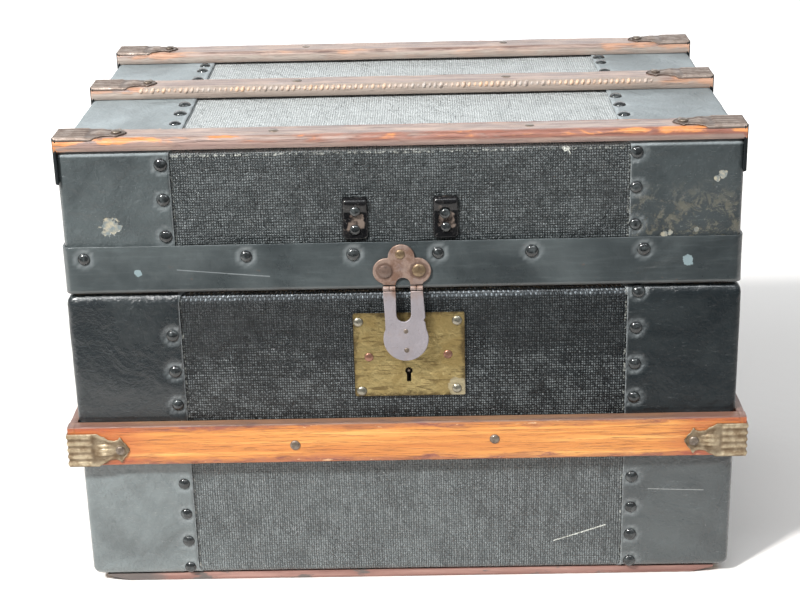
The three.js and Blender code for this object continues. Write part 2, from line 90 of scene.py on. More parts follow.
class TrunkSizes(bpy.types.PropertyGroup):
    nail_radius: length("Nail radius", "Radius of a cover nail's domed head", 4.0)
    small_nail_radius: length("Small nail radius", "Radius of a slat or clamp nail's head", 3.2)
    dimple_radius: length("Dimple radius", "How far a nail draws the cover in round it", 5.2)
    dimple_depth: length("Dimple depth", "How deep the cover is drawn in at a nail", 0.95)
    warp_pitch: length("Warp pitch", "Spacing of the upright threads", 1.5)
    weft_pitch: length("Weft pitch", "Spacing of the level threads", 1.65)
    cover_step: length("Cover step", "Size of the squares of a cover's mesh", 2.4)
    bead_pitch: length("Bead pitch", "Spacing of the carved beads on the middle slat", 3.7)
    cloth_sag: length("Cloth unevenness", "How far the glued cloth stands off flat", 0.35)


class TrunkColours(bpy.types.PropertyGroup):
    paint: colour("Paint", "Black paint on cloth, fibre and steel", 24, 30, 33)
    # Also the colour of the painted reflection and sheen laid on low down, at the left end, on the lid and
    # round the nail dimples.
    worn_paint_and_sheen: colour("Worn paint", "Rubbed and dusty paint", 116, 125, 126)
    oak: colour("Oak", "Varnished oak", 218, 150, 76)
    stain: colour("Stain", "Dark stain left along the slats' edges", 122, 70, 66)
    bleached: colour("Bleached oak", "Oak on the lid, greyed by handling", 158, 138, 128)
    brass: colour("Brass", "Aged brass of the lock plate", 176, 158, 110)
    stamped: colour("Stamped metal", "Dull plating of the clamps", 210, 194, 164)
    rust: colour("Rust", "Thin rust on the hasp", 152, 130, 118)
    steel: colour("Bare steel", "Dull steel of the hasp's tongue", 148, 142, 146)
    cream: colour("Undercoat", "Cream ground where the paint has chipped", 170, 163, 144)
    paper: colour("Paper", "Lining paper", 214, 200, 165)
    pine: colour("Pine", "Bare pine boards", 205, 170, 120)


class TrunkStudio(bpy.types.PropertyGroup):
    key_power: FloatProperty(
        name="Key light", description="Power of the key light", default=78.0, unit="POWER"
    )
    fill_power: FloatProperty(
        name="Fill light", description="Power of the fill light", default=19.0, unit="POWER"
    )
    back_power: FloatProperty(
        name="Back light", description="Power of the light behind", default=7.0, unit="POWER"
    )
    sky: FloatProperty(name="Surroundings", description="Strength of the pale surroundings", default=0.4)
    floor: colour("Floor", "Floor and backdrop", 232, 229, 226)


def sizes():
    return bpy.context.scene.trunk_sizes


def colours():
    return bpy.context.scene.trunk_colours


def studio():
    return bpy.context.scene.trunk_studio


# ---------------------------------------------------------------- making materials
class Finish:
    """A Principled material, with short calls for the nodes behind it."""

    def __init__(self, name, values):
        self.material = bpy.data.materials.new(name)
        self.material.use_nodes = True
        self.tree = self.material.node_tree
        self.shader = self.tree.nodes["Principled BSDF"]
        for socket, value in values.items():
            self.shader.inputs[socket].default_value = value
        self.place = self.tree.nodes.new("ShaderNodeTexCoord").outputs["Object"]
        self.x, self.y, self.z = self.split(self.place)
        self.coat = values.get("Coat Weight", 0.0)
        self.facing = None

    def put(self, kind, values=None, **settings):
        node = self.tree.nodes.new(kind)
        for name, value in settings.items():
            setattr(node, name, value)
        for key, value in (values or {}).items():
            if isinstance(value, bpy.types.NodeSocket):
                self.tree.links.new(value, node.inputs[key])
            else:
                node.inputs[key].default_value = value
        return node

    def maths(self, operation, a, b=0.0, clamp=False):
        return self.put("ShaderNodeMath", {0: a, 1: b}, operation=operation, use_clamp=clamp).outputs[0]

    def plus(self, *terms):
        total = terms[0]
        for term in terms[1:]:
            total = self.maths("ADD", total, term)
        return total

    def times(self, *terms):
        total = terms[0]
        for term in terms[1:]:
            total = self.maths("MULTIPLY", total, term)
        return total

    def most(self, *terms):
        """The greatest of the terms."""
        total = terms[0]
        for term in terms[1:]:
            total = self.maths("MAXIMUM", total, term)
        return total

    def off(self, value, centre=0.0):
        """How far value is from centre."""
        return self.maths("ABSOLUTE", self.plus(value, -centre) if centre else value)

    def vector(self, operation, a, b):
        return self.put("ShaderNodeVectorMath", {0: a, 1: b}, operation=operation).outputs

    def stretched(self, factors, at=None):
        """The place, scaled along each axis."""
        return self.put("ShaderNodeMapping", {"Vector": at or self.place, "Scale": factors}).outputs[0]

    def cloud(self, scale, detail=4.0, rough=0.55, at=None, warp=0.0):
        values = {
            "Vector": at or self.place,
            "Scale": scale,
            "Detail": detail,
            "Roughness": rough,
            "Distortion": warp,
        }
        return self.put("ShaderNodeTexNoise", values).outputs["Fac"]

    def fade(self, value, low, high, start=0.0, end=1.0):
        """Runs smoothly from start to end as value goes from low to high."""
        values = {"Value": value, "From Min": low, "From Max": high, "To Min": start, "To Max": end}
        return self.put("ShaderNodeMapRange", values, interpolation_type="SMOOTHSTEP").outputs["Result"]

    def blend(self, share, a, b):
        return self.put("ShaderNodeMix", {0: share, 6: a, 7: b}, data_type="RGBA").outputs[2]

    def split(self, vector):
        return self.put("ShaderNodeSeparateXYZ", {0: vector}).outputs

    def front(self):
        """The place on the front, with its depth left out, and 1 on the front but 0 elsewhere."""
        if not self.facing:
            self.facing = self.stretched((1, 0, 1)), self.fade(self.y, -0.1, -0.11)
        return self.facing

    def spot(self, x, z, radius, ragged=0.5):
        """1 inside a ragged round spot on the front and 0 outside it."""
        flat, here = self.front()
        away = self.vector("DISTANCE", flat, (x, 0, z))["Value"]
        ripple = self.times(self.cloud(350, 3), radius * ragged * 2)
        inside = self.fade(self.plus(away, ripple), radius * (1.12 + ragged), radius * (0.95 + ragged))
        return self.times(inside, here)

    def line(self, start, end, width):
        """1 on a thin scratch on the front, between two points (x, z), and 0 off it."""
        flat, here = self.front()
        start, end = Vector((start[0], 0, start[1])), Vector((end[0], 0, end[1]))
        unit = (end - start).normalized()
        back = self.vector("SUBTRACT", flat, start)[0]
        dot = self.vector("DOT_PRODUCT", back, unit)["Value"]
        reach = self.maths("MINIMUM", self.most(dot, 0.0), (end - start).length)
        foot = self.put("ShaderNodeVectorMath", {0: unit, "Scale": reach}, operation="SCALE").outputs[0]
        off = self.vector("DISTANCE", back, foot)["Value"]
        return self.times(self.fade(off, width, width * 0.3), here)

    def attribute(self, name):
        return self.put("ShaderNodeAttribute", attribute_name=name).outputs["Fac"]

    def bump(self, height, depth, under=None):
        """The surface with height, from 0 to 1, standing depth metres out."""
        values = {"Height": height, "Distance": depth, "Strength": 1.0}
        if under is not None:
            values["Normal"] = under
        return self.put("ShaderNodeBump", values).outputs[0]

    def feed(self, socket, source):
        self.tree.links.new(source, self.shader.inputs[socket])

    def done(self, base=None, roughness=None, normal=None, metallic=None):
        given = {"Base Color": base, "Roughness": roughness, "Normal": normal, "Metallic": metallic}
        for socket, source in given.items():
            if source is not None:
                self.feed(socket, source)
        return self.material


_made = {}


def finish(recipe, *choices):
    """The material a recipe makes, made once for each choice."""
    key = (recipe.__name__, *choices)
    if key not in _made:
        _made[key] = recipe(*choices)
    return _made[key]


def dust_and_sheen(f, least=0.3, top=0.35):
    """Dust and painted sheen: thick near the foot and the left end, least just under the lid, some on the
    lid, more on its top. Low down, at the left end and on the lid it is partly a painted reflection of the
    bright floor, and on the top partly a painted sheen.
    """
    end = f.fade(f.x, 0.2, -0.2, least, 1.0)
    foot = f.times(f.fade(f.z, *UNDER_SLATS, 0.0, 0.6), end)
    lid = f.times(f.fade(f.z, *SEAM_Z, 0.0, 0.28), f.plus(0.45, f.times(end, 0.55)))
    clouds = f.fade(f.cloud(21, 5, 0.6, warp=0.5), 0.3, 0.7, 0.65, 1.35)
    on_top = f.fade(f.z, *LID_TOP, 0.0, top)
    return f.plus(f.times(f.plus(foot, lid, f.times(f.fade(f.x, -0.1, -0.2), 0.03)), clouds), on_top)


# ---------------------------------------------------------------- finishes
# Heights over which a finish changes: under the case's slats, from case to lid, and onto the lid's top.
UNDER_SLATS, SEAM_Z, LID_TOP = (0.118, 0.085), (0.196, 0.204), (0.2862, 0.2875)
# Marks on the front: a spot is (x, z, radius) and a scratch is (start, end, width).
CLOTH_SCRATCH = ((0.093, 0.0255), (0.126, 0.0365), 0.0006)
TEAR, TORN_THREAD = (0.0985, 0.2862, 0.002), ((0.0985, 0.2865), (0.1005, 0.2825), 0.0005)
CLOTH_EDGE_X, CLOTH_FOLD_Z, COVER_EDGE_X = 0.1353, 0.2856, (0.1368, 0.1361)
COVER_SCRATCH = ((0.152, 0.0625), (0.187, 0.061), 0.0003)
BIG_CHIPS = ((-0.1737, 0.2434, 0.0056), (0.1905, 0.2685, 0.0024))
BAND_FLECKS = ((0.1715, 0.2158, 0.003), (-0.159, 0.214, 0.0021))
BAND_BEND = (-0.1047, 0.2126)
BAND_SCRATCHES = (((-0.1355, 0.2155), BAND_BEND, 0.0004), (BAND_BEND, (-0.080, 0.2103), 0.0005))
# Painted shadows round the hasp's left and right rivets.
RIVET_SHADOWS = ((-0.0102, 0.2127, 0.0052), (0.0102, 0.2129, 0.0056))
TAB_WEAR_X, TAB_WEAR_Z = 0.027, 0.2435
SMALL_CHIPS = (
    (0.187, 0.266, 0.0017), (0.157, 0.2322, 0.0019), (0.1605, 0.2328, 0.0016), (0.176, 0.2345, 0.0014)
)


def matt_top(f):
    """1 on the lid's top, which the finishes paint pale with dust and a painted sheen, and 0 below it.

    The varnish is gone from the top, and it is thin on the case above its slats.
    """
    top = f.fade(f.z, *LID_TOP)
    thin = f.times(f.fade(f.z, 0.112, 0.12), f.fade(f.z, 0.2, 0.194), f.fade(f.x, -0.2, 0.2, 0.25, 0.8))
    f.feed("Coat Weight", f.times(f.maths("SUBTRACT", 1.0, f.plus(top, thin)), f.coat))
    f.feed("Specular IOR Level", f.fade(thin, 0.0, 1.0, 0.5, 0.2))
    return top


def painted_cloth():
    c, s = colours(), sizes()
    f = Finish("painted_cloth", {"Roughness": 0.35, "Coat Weight": 0.6, "Coat Roughness": 0.16})
    flat = f.put("ShaderNodeUVMap", uv_map="cloth").outputs[0]
    drift = f.put("ShaderNodeTexNoise", {"Vector": flat, "Scale": 90.0, "Detail": 6.0, "Roughness": 0.7})
    drift = f.put(
        "ShaderNodeVectorMath", {0: drift.outputs["Color"], "Scale": 0.0018}, operation="SCALE"
    ).outputs[0]
    flat = f.vector("ADD", flat, drift)[0]
    u, v, _ = f.split(flat)
    warp = f.maths("SINE", f.times(u, math.pi / s.warp_pitch))
    weft = f.maths("SINE", f.times(v, math.pi / s.weft_pitch))
    upright = f.fade(f.cloud(1.0, 3, 0.6, f.stretched((620, 34, 1), flat)), 0.34, 0.66)
    level = f.fade(f.cloud(1.0, 3, 0.6, f.stretched((34, 560, 1), flat)), 0.34, 0.66)
    low_down = f.fade(f.z, *UNDER_SLATS)
    crossing = f.times(warp, weft)
    over = f.times(f.most(crossing, 0.0), f.plus(0.35, f.times(upright, 0.65)))
    under = f.times(f.most(f.times(crossing, -1.0), 0.0), f.plus(0.35, f.times(level, 0.65)))
    under = f.times(under, f.fade(low_down, 0.0, 1.0, 1.0, 0.4))
    ribs = f.times(f.off(warp), f.plus(0.3, f.times(upright, 0.7)), low_down)
    height = f.plus(over, under, f.times(ribs, 0.55))
    # Paler low down, at the left end and on the lid: dust, with a painted reflection of the floor and a
    # painted sheen.
    paint = f.blend(f.times(dust_and_sheen(f, 0.45, 1.15), 0.72), c.paint, c.worn_paint_and_sheen)
    slant = f.maths("SINE", f.times(f.plus(u, v), math.pi / (1.7 * s.warp_pitch)))
    # Pale thread crowns, more of them low on the case and on the lid; low down they are partly a painted
    # reflection of the floor.
    crown = f.fade(f.plus(height, f.times(slant, 0.1), f.times(f.cloud(110, 8, 0.8), 1.7)), 1.1, 1.65)
    rubbed = f.fade(
        f.plus(f.z, f.times(level, -0.02), f.times(f.cloud(24, 4), 0.02)), 0.162, 0.15, 0.0, 0.3
    )
    share = f.plus(
        0.2, f.times(rubbed, f.fade(low_down, 0.0, 1.0, 1.0, 0.8)), f.fade(f.z, *SEAM_Z, 0.0, 0.26)
    )
    paint = f.blend(f.times(crown, share), paint, tone(154, 161, 162))
    # Painted shade in the pits between the threads.
    paint = f.blend(f.times(f.fade(height, 0.3, 0.05), 0.6), paint, tone(6, 7, 8))
    # Paler round each nail's dimple: rubbed paint and a painted highlight on the dimple's rim.
    paint = f.blend(
        f.times(f.attribute("ring"), f.fade(f.cloud(300, 3), 0.4, 0.6, 0.2, 0.5)), paint, c.worn_paint_and_sheen
    )
    scratch = f.line(*CLOTH_SCRATCH)
    fray = f.most(f.spot(*TEAR, 1.2), f.line(*TORN_THREAD))
    seam = f.fade(f.off(f.off(f.x), CLOTH_EDGE_X), 0.0009, 0.0003)
    seam = f.times(seam, f.fade(f.cloud(500, 4, 0.7), 0.52, 0.62))
    top_edge = f.times(
        f.fade(f.off(f.z, CLOTH_FOLD_Z), 0.0011, 0.0004), f.fade(f.cloud(420, 4, 0.7), 0.5, 0.6)
    )
    # Painted highlight along the case's shoulder, on the threads' crowns.
    gleam = f.times(
        f.fade(f.z, 0.1925, 0.1965), f.fade(f.z, 0.2022, 0.2005), f.fade(over, 0.1, 0.6, 0.1, 0.8)
    )
    paint = f.blend(
        f.times(gleam, f.fade(f.cloud(60, 4), 0.35, 0.6, 0.25, 1.0)), paint, tone(176, 186, 194)
    )
    marks = f.most(scratch, fray, f.times(f.most(seam, top_edge), 0.6))
    paint = f.blend(marks, paint, tone(206, 208, 200))
    top = matt_top(f)
    # The lid's top painted pale: dust and a painted sheen.
    paint = f.blend(f.times(top, f.fade(height, 0.1, 0.7, 0.4, 0.9)), paint, tone(222, 226, 226))
    roughness = f.plus(f.fade(f.cloud(40, 5), 0.3, 0.75, 0.26, 0.42), f.times(top, 0.3))
    wrinkles = f.cloud(1.0, 5, 0.6, f.stretched((9, 9, 150)), 0.5)
    normal = f.bump(
        f.plus(f.cloud(52, 5, 0.64, warp=1.1), f.times(f.cloud(150, 5, 0.7, warp=0.7), 0.35)), 0.0068
    )
    normal = f.bump(wrinkles, 0.0016, normal)
    normal = f.bump(f.plus(height, f.times(f.cloud(330, 4, 0.7), 0.9)), 0.00065, normal)
    return f.done(paint, roughness, normal)


def fibre_board():
    c = colours()
    f = Finish("fibre_board", {"Roughness": 0.32, "Coat Weight": 0.7, "Coat Roughness": 0.13})
    patches = f.cloud(16, 6, 0.6, warp=0.6)
    scuffs = f.fade(f.cloud(1.0, 8, 0.75, f.stretched((150, 300, 900))), 0.57, 0.72)
    specks = f.fade(f.cloud(800, 2), 0.7, 0.78)
    # Paler low down, at the left end and on the lid: dust, with a painted reflection of the floor and a
    # painted sheen.
    share = f.plus(dust_and_sheen(f), f.times(f.fade(patches, 0.45, 0.75), 0.08))
    paint = f.blend(share, c.paint, c.worn_paint_and_sheen)
    paint = f.blend(f.times(scuffs, 0.12), paint, tone(170, 176, 178))
    paint = f.blend(f.times(specks, 0.2), paint, tone(190, 192, 190))
    chips = f.most(*[f.spot(*chip, 0.9) for chip in (*BIG_CHIPS, *SMALL_CHIPS)])
    paint = f.blend(chips, paint, f.blend(f.fade(f.cloud(300, 4), 0.35, 0.65), c.cream, c.worn_paint_and_sheen))
    scratches = f.line(*COVER_SCRATCH)
    paint = f.blend(f.times(scratches, 0.4), paint, tone(205, 208, 206))
    peel = f.fade(f.cloud(150, 8, 0.78, warp=0.5), 0.5, 0.58)
    peeled = f.times(f.fade(f.x, 0.12, 0.15), f.fade(f.z, 0.27, 0.245))
    peeled = f.times(peeled, f.fade(f.z, 0.2, 0.21))
    paint = f.blend(f.times(peel, peeled, 0.5), paint, tone(112, 108, 92))
    grain = f.plus(f.times(f.cloud(520, 4, 0.6), 0.7), f.times(f.cloud(90, 4), 0.6))
    normal = f.bump(f.cloud(30, 4, 0.55, warp=0.8), 0.003)
    normal = f.bump(f.cloud(170, 5, 0.65, warp=0.5), 0.0009, normal)
    normal = f.bump(grain, 0.0005, normal)
    normal = f.bump(f.maths("SUBTRACT", 1.0, f.plus(chips, f.times(peel, peeled, 0.6))), 0.0003, normal)
    # Painted highlight along the covers' edges at the seam and round each nail's dimple, with some rubbed
    # paint.
    rim = f.most(f.fade(f.off(f.x), *COVER_EDGE_X), f.times(f.attribute("ring"), 0.8))
    paint = f.blend(f.times(rim, f.fade(f.cloud(420, 3), 0.4, 0.6, 0.3, 0.6)), paint, tone(150, 156, 158))
    roughness = f.fade(f.plus(patches, f.times(scuffs, 0.4)), 0.3, 0.95, 0.22, 0.45)
    top = matt_top(f)
    # The lid's top painted pale: dust and a painted sheen.
    paint = f.blend(f.times(top, f.fade(patches, 0.3, 0.7, 0.2, 0.45)), paint, tone(176, 184, 188))
    roughness = f.plus(roughness, f.times(top, 0.35))
    return f.done(paint, roughness, normal)


def japanned_steel():
    c = colours()
    f = Finish("japanned_steel", {"Roughness": 0.32, "Coat Weight": 0.6, "Coat Roughness": 0.14})
    patches = f.cloud(22, 6, 0.62, warp=0.4)
    streaks = f.cloud(1.0, 6, 0.7, f.stretched((45, 45, 420)))
    # Paler in patches and streaks, and from dust and sheen: dust, with a painted reflection of the floor and
    # a painted sheen.
    share = f.plus(f.times(dust_and_sheen(f), 0.75), f.times(f.fade(patches, 0.35, 0.75), 0.14))
    share = f.plus(share, f.times(f.fade(streaks, 0.45, 0.75), 0.1))
    paint = f.blend(share, c.paint, c.worn_paint_and_sheen)
    rust = f.fade(f.cloud(170, 5, 0.65), 0.66, 0.74)
    paint = f.blend(f.times(rust, 0.45), paint, tone(98, 74, 60))
    fleck = f.most(*[f.spot(*place, 0.8) for place in BAND_FLECKS])
    paint = f.blend(f.times(fleck, 0.8), paint, tone(138, 156, 160))
    scratch = f.most(*[f.line(*place) for place in BAND_SCRATCHES])
    # Pale along the scratches, which are worn, and round each nail's dimple, a painted highlight with rubbed
    # paint.
    worn = f.most(f.times(scratch, 0.35), f.times(f.attribute("ring"), 0.3))
    paint = f.blend(worn, paint, tone(170, 176, 178))
    normal = f.bump(f.cloud(26, 4, 0.55, warp=0.6), 0.0016)
    normal = f.bump(f.cloud(300, 4), 0.0003, normal)
    roughness = f.fade(f.plus(patches, f.times(rust, 0.5)), 0.3, 1.0, 0.26, 0.6)
    return f.done(paint, roughness, normal)


def oak(worn):
    """Oak along X or Y: amber and varnished, or greyed and dark where worn is 1."""
    c = colours()
    f = Finish(
        "oak_lid" if worn else "oak_case", {"Roughness": 0.4, "Coat Weight": 0.25, "Coat Roughness": 0.3}
    )
    side = f.fade(f.off(f.x), 0.2055, 0.2065)
    lengthwise = f.stretched((14, 520, 520))
    crosswise = f.stretched((520, 14, 520))
    at = f.put("ShaderNodeMix", {0: side, 4: lengthwise, 5: crosswise}, data_type="VECTOR").outputs[1]
    figure = f.cloud(1.1 if worn else 0.5, 6, 0.65, at, 0.4)
    pores = f.fade(f.cloud(3.4, 4, 0.75, at), 0.53, 0.7)
    edge = f.attribute("edge")
    patches = f.cloud(1.0, 5, 0.6, f.stretched((38, 120, 120)), 0.5)
    if worn:
        wood = f.blend(f.fade(figure, 0.36, 0.64), tone(100, 74, 66), c.bleached)
        wood = f.blend(f.times(f.fade(patches, 0.42, 0.62), 0.5), wood, tone(190, 164, 148))
        below = f.fade(f.z, 0.2965, 0.2945)
        front = f.fade(f.y, -0.09, -0.1)
        face = f.blend(front, tone(176, 164, 154), tone(158, 132, 124))
        wood = f.blend(f.times(below, f.fade(patches, 0.62, 0.4, 0.25, 0.8)), wood, face)
        stripe = f.times(
            front, f.fade(edge, 0.35, 0.75), f.fade(f.plus(patches, f.times(f.x, 1.2)), 0.36, 0.56)
        )
        wood = f.blend(f.times(stripe, 0.75), wood, tone(136, 78, 60))
        reach = f.fade(f.off(f.plus(f.x, f.times(patches, 0.03))), 0.125, 0.16)
        bare = f.fade(f.plus(f.times(edge, 0.3), patches, f.times(reach, 0.16)), 0.84, 0.96)
        wood = f.blend(f.times(bare, f.plus(0.35, f.times(front, 0.65))), wood, tone(206, 134, 78))
        wood = f.blend(f.times(pores, 0.5), wood, tone(60, 46, 44))
        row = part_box("lid_slat_middle")[0].y + 1.6 * MM
        under = f.fade(f.off(f.y, row), 2.4 * MM, 1.2 * MM)
        wood = f.blend(f.times(under, f.fade(f.off(f.x), 0.172, 0.166)), wood, tone(150, 136, 126))
    else:
        wood = f.blend(f.fade(figure, 0.25, 0.75), tone(186, 112, 54), c.oak)
        wood = f.blend(f.times(f.fade(figure, 0.5, 0.75), 0.6), wood, tone(232, 176, 104))
        dark = f.fade(f.plus(f.times(edge, 0.6), f.times(patches, 0.9)), 0.58, 0.86)
        blots = f.fade(f.cloud(1.0, 6, 0.72, f.stretched((60, 260, 260)), 0.4), 0.5, 0.6)
        wood = f.blend(f.times(dark, f.plus(0.5, f.times(blots, 0.4))), wood, c.stain)
        chipped = f.times(
            f.fade(edge, 0.3, 0.7),
            f.fade(f.cloud(1.0, 5, 0.7, f.stretched((90, 400, 400)), 0.3), 0.62, 0.66),
        )
        wood = f.blend(f.times(chipped, 0.8), wood, tone(226, 186, 142))
        ends = f.fade(f.plus(f.off(f.x), f.times(patches, 0.03)), 0.165, 0.2)
        wood = f.blend(f.times(ends, 0.55), wood, tone(160, 72, 44))
        wood = f.blend(f.times(pores, 0.62), wood, tone(124, 66, 34))
        above = f.fade(f.z, 0.1142, 0.1152)
        wood = f.blend(f.times(above, 0.75), wood, tone(96, 84, 78))
    normal = f.bump(f.maths("SUBTRACT", figure, f.times(pores, 0.5)), 0.0004)
    roughness = f.fade(patches, 0.3, 0.7, 0.34, 0.56)
    return f.done(wood, roughness, normal)


def beaded_oak():
    """The carved beads, rubbed pale."""
    f = Finish("beaded_oak", {"Roughness": 0.5})
    patches = f.cloud(30, 4)
    wood = f.blend(f.fade(patches, 0.35, 0.65), tone(206, 170, 140), tone(172, 162, 154))
    wood = f.blend(f.fade(f.cloud(300, 4), 0.5, 0.7, 0.0, 0.6), wood, tone(104, 78, 66))
    return f.done(wood, None, f.bump(patches, 0.0003))


def painted_runner():
    f = Finish("painted_runner", {"Roughness": 0.55})
    along = f.stretched((20, 500, 500))
    figure = f.cloud(0.6, 6, 0.6, along, 0.3)
    patches = f.cloud(1.0, 5, 0.6, f.stretched((40, 120, 120)))
    wood = f.blend(f.fade(figure, 0.3, 0.7), tone(118, 82, 74), tone(160, 124, 114))
    left = f.fade(f.plus(f.x, f.times(patches, 0.03)), -0.14, -0.156)
    paint = f.most(left, f.fade(patches, 0.58, 0.66))
    wood = f.blend(f.times(paint, 0.85), wood, tone(84, 84, 82))
    return f.done(wood, f.fade(patches, 0.3, 0.7, 0.45, 0.7), f.bump(figure, 0.0004))


def stamped_metal(brassy):
    c = colours()
    f = Finish("stamped_brass" if brassy else "stamped_steel", {"Metallic": 0.6, "Roughness": 0.38})
    patches = f.cloud(160, 5, 0.62)
    hollow = f.attribute("hollow")
    bright = c.stamped if brassy else tone(176, 162, 152)
    dull = tone(134, 112, 84) if brassy else tone(138, 122, 112)
    metal = f.blend(f.fade(patches, 0.35, 0.7), bright, dull)
    # Darker in the stamping's hollows: grime, with painted shade to bring out the relief.
    metal = f.blend(f.times(hollow, 0.75), metal, tone(86, 68, 50) if brassy else tone(80, 68, 62))
    metal = f.blend(f.fade(hollow, 1.2, 1.8), metal, c.paint)
    # Painted highlight, in patches, on the raised stamping.
    crest = f.fade(f.maths("SUBTRACT", patches, f.times(hollow, 0.5)), 0.5, 0.68)
    metal = f.blend(f.times(crest, 0.6), metal, tone(224, 210, 174) if brassy else tone(186, 174, 164))
    roughness = f.fade(f.plus(patches, f.times(hollow, 0.3)), 0.3, 0.9, 0.3, 0.62)
    return f.done(metal, roughness, f.bump(f.plus(f.times(f.cloud(600, 4), 0.4), patches), 0.0006))


def aged_brass():
    c = colours()
    f = Finish("aged_brass", {"Metallic": 0.85, "Roughness": 0.36})
    low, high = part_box("lock_plate")
    middle, half = (low + high) / 2, (high - low) / 2
    from_end = f.maths("SUBTRACT", half.x, f.off(f.x, middle.x))
    from_edge = f.maths("SUBTRACT", half.z, f.off(f.z, middle.z))
    inset = f.maths("MINIMUM", from_end, from_edge)
    patches = f.cloud(58, 6, 0.6, warp=0.8)
    streaks = f.cloud(1.0, 5, 0.6, f.stretched((60, 60, 360)), 1.2)
    metal = f.blend(f.fade(patches, 0.32, 0.7), c.brass, tone(148, 128, 82))
    metal = f.blend(f.times(f.fade(streaks, 0.52, 0.68), 0.6), metal, tone(84, 66, 42))
    rim = f.fade(f.plus(inset, f.times(f.cloud(130, 6, 0.7, warp=0.8), 0.014)), 0.0105, 0.0065)
    metal = f.blend(f.times(rim, 0.75), metal, tone(70, 56, 38))
    # Painted highlight at the plate's lower right corner.
    corner = f.spot(high.x - 4 * MM, low.z + 5 * MM, 6.5 * MM, 0.3)
    metal = f.blend(f.times(corner, f.fade(patches, 0.35, 0.65, 0.15, 0.6)), metal, tone(200, 192, 166))
    polish = f.fade(f.cloud(420, 3), 0.62, 0.72)
    metal = f.blend(f.times(polish, 0.25), metal, tone(206, 190, 140))
    normal = f.bump(f.plus(f.times(f.cloud(45, 3), 1.0), f.times(f.cloud(500, 4), 0.25)), 0.0014)
    return f.done(metal, f.fade(patches, 0.3, 0.7, 0.28, 0.5), normal)


def rusted_steel():
    c = colours()
    f = Finish("rusted_steel", {"Metallic": 0.45, "Roughness": 0.5})
    patches = f.cloud(110, 6, 0.62)
    up = f.fade(f.plus(f.z, f.times(patches, 0.014)), 0.200, 0.212)
    metal = f.blend(up, c.steel, c.rust)
    metal = f.blend(f.times(f.fade(patches, 0.42, 0.62), f.times(up, 0.8)), metal, tone(108, 78, 62))
    # Painted shadow round each of the hasp's left and right rivets.
    rivet_shadow = f.most(*[f.spot(*place, 0.2) for place in RIVET_SHADOWS])
    metal = f.blend(f.times(rivet_shadow, 0.7), metal, tone(92, 70, 60))
    grey = f.fade(f.cloud(200, 5), 0.52, 0.66)
    metal = f.blend(f.times(grey, 0.35), metal, tone(150, 138, 136))
    pits = f.fade(f.cloud(900, 3), 0.64, 0.72)
    metal = f.blend(f.times(pits, 0.35), metal, tone(100, 80, 70))
    normal = f.bump(f.plus(f.cloud(700, 4), f.times(patches, 0.5)), 0.0002)
    return f.done(metal, f.fade(patches, 0.3, 0.7, 0.42, 0.62), normal)


def nail_head(kind):
    """A domed head: black painted iron, bare steel, copper, or dull iron on the slats."""
    looks = {
        "black": (tone(26, 29, 30), tone(70, 75, 76), 0.0, 0.17),
        "steel": (tone(150, 146, 132), tone(92, 86, 72), 0.9, 0.32),
        "copper": (tone(146, 106, 88), tone(96, 66, 54), 0.8, 0.36),
        "iron": (tone(128, 116, 104), tone(72, 60, 52), 0.7, 0.42),
        "umber": (tone(112, 92, 82), tone(74, 58, 52), 0.4, 0.46),
        "dull_brass": (tone(134, 114, 88), tone(84, 66, 52), 0.7, 0.38),
    }
    light, dark, metallic, roughness = looks[kind]
    f = Finish("nail_" + kind, {"Metallic": metallic, "Roughness": roughness, "Coat Weight": 0.4})
    patches = f.cloud(260, 4, 0.6)
    metal = f.blend(f.fade(patches, 0.42, 0.75), light, dark)
    return f.done(
        metal, f.fade(patches, 0.3, 0.7, roughness * 0.8, roughness * 1.3), f.bump(patches, 0.00025)
    )


def tab_steel():
    """Black japan, gone to brown between the two nails."""
    f = Finish(
        "tab_steel",
        {"Roughness": 0.22, "Specular IOR Level": 0.3, "Coat Weight": 0.35, "Coat Roughness": 0.08},
    )
    patches = f.cloud(150, 5, 0.6)
    middle = f.fade(f.off(f.z, TAB_WEAR_Z), 0.0062, 0.003)
    inner = f.fade(f.off(f.off(f.x), TAB_WEAR_X), 0.0068, 0.0035)
    worn = f.fade(f.plus(patches, f.times(middle, inner, 0.26)), 0.62, 0.76)
    paint = f.blend(
        worn, tone(14, 14, 16), f.blend(f.fade(patches, 0.4, 0.6), tone(58, 50, 46), tone(110, 98, 90))
    )
    paint = f.blend(f.times(f.fade(f.cloud(500, 4), 0.6, 0.7), 0.3), paint, tone(120, 116, 112))
    return f.done(paint, f.fade(patches, 0.3, 0.7, 0.16, 0.34), f.bump(patches, 0.0004))


def bare_pine():
    c = colours()
    f = Finish("bare_pine", {"Roughness": 0.7})
    figure = f.cloud(0.5, 6, 0.6, f.stretched((16, 260, 260)), 0.5)
    patches = f.cloud(14, 4)
    wood = f.blend(f.fade(figure, 0.3, 0.7), tone(160, 118, 74), c.pine)
    wood = f.blend(f.times(f.fade(patches, 0.5, 0.8), 0.4), wood, tone(120, 92, 64))
    return f.done(wood, f.fade(figure, 0.3, 0.7, 0.6, 0.8), f.bump(figure, 0.0005))


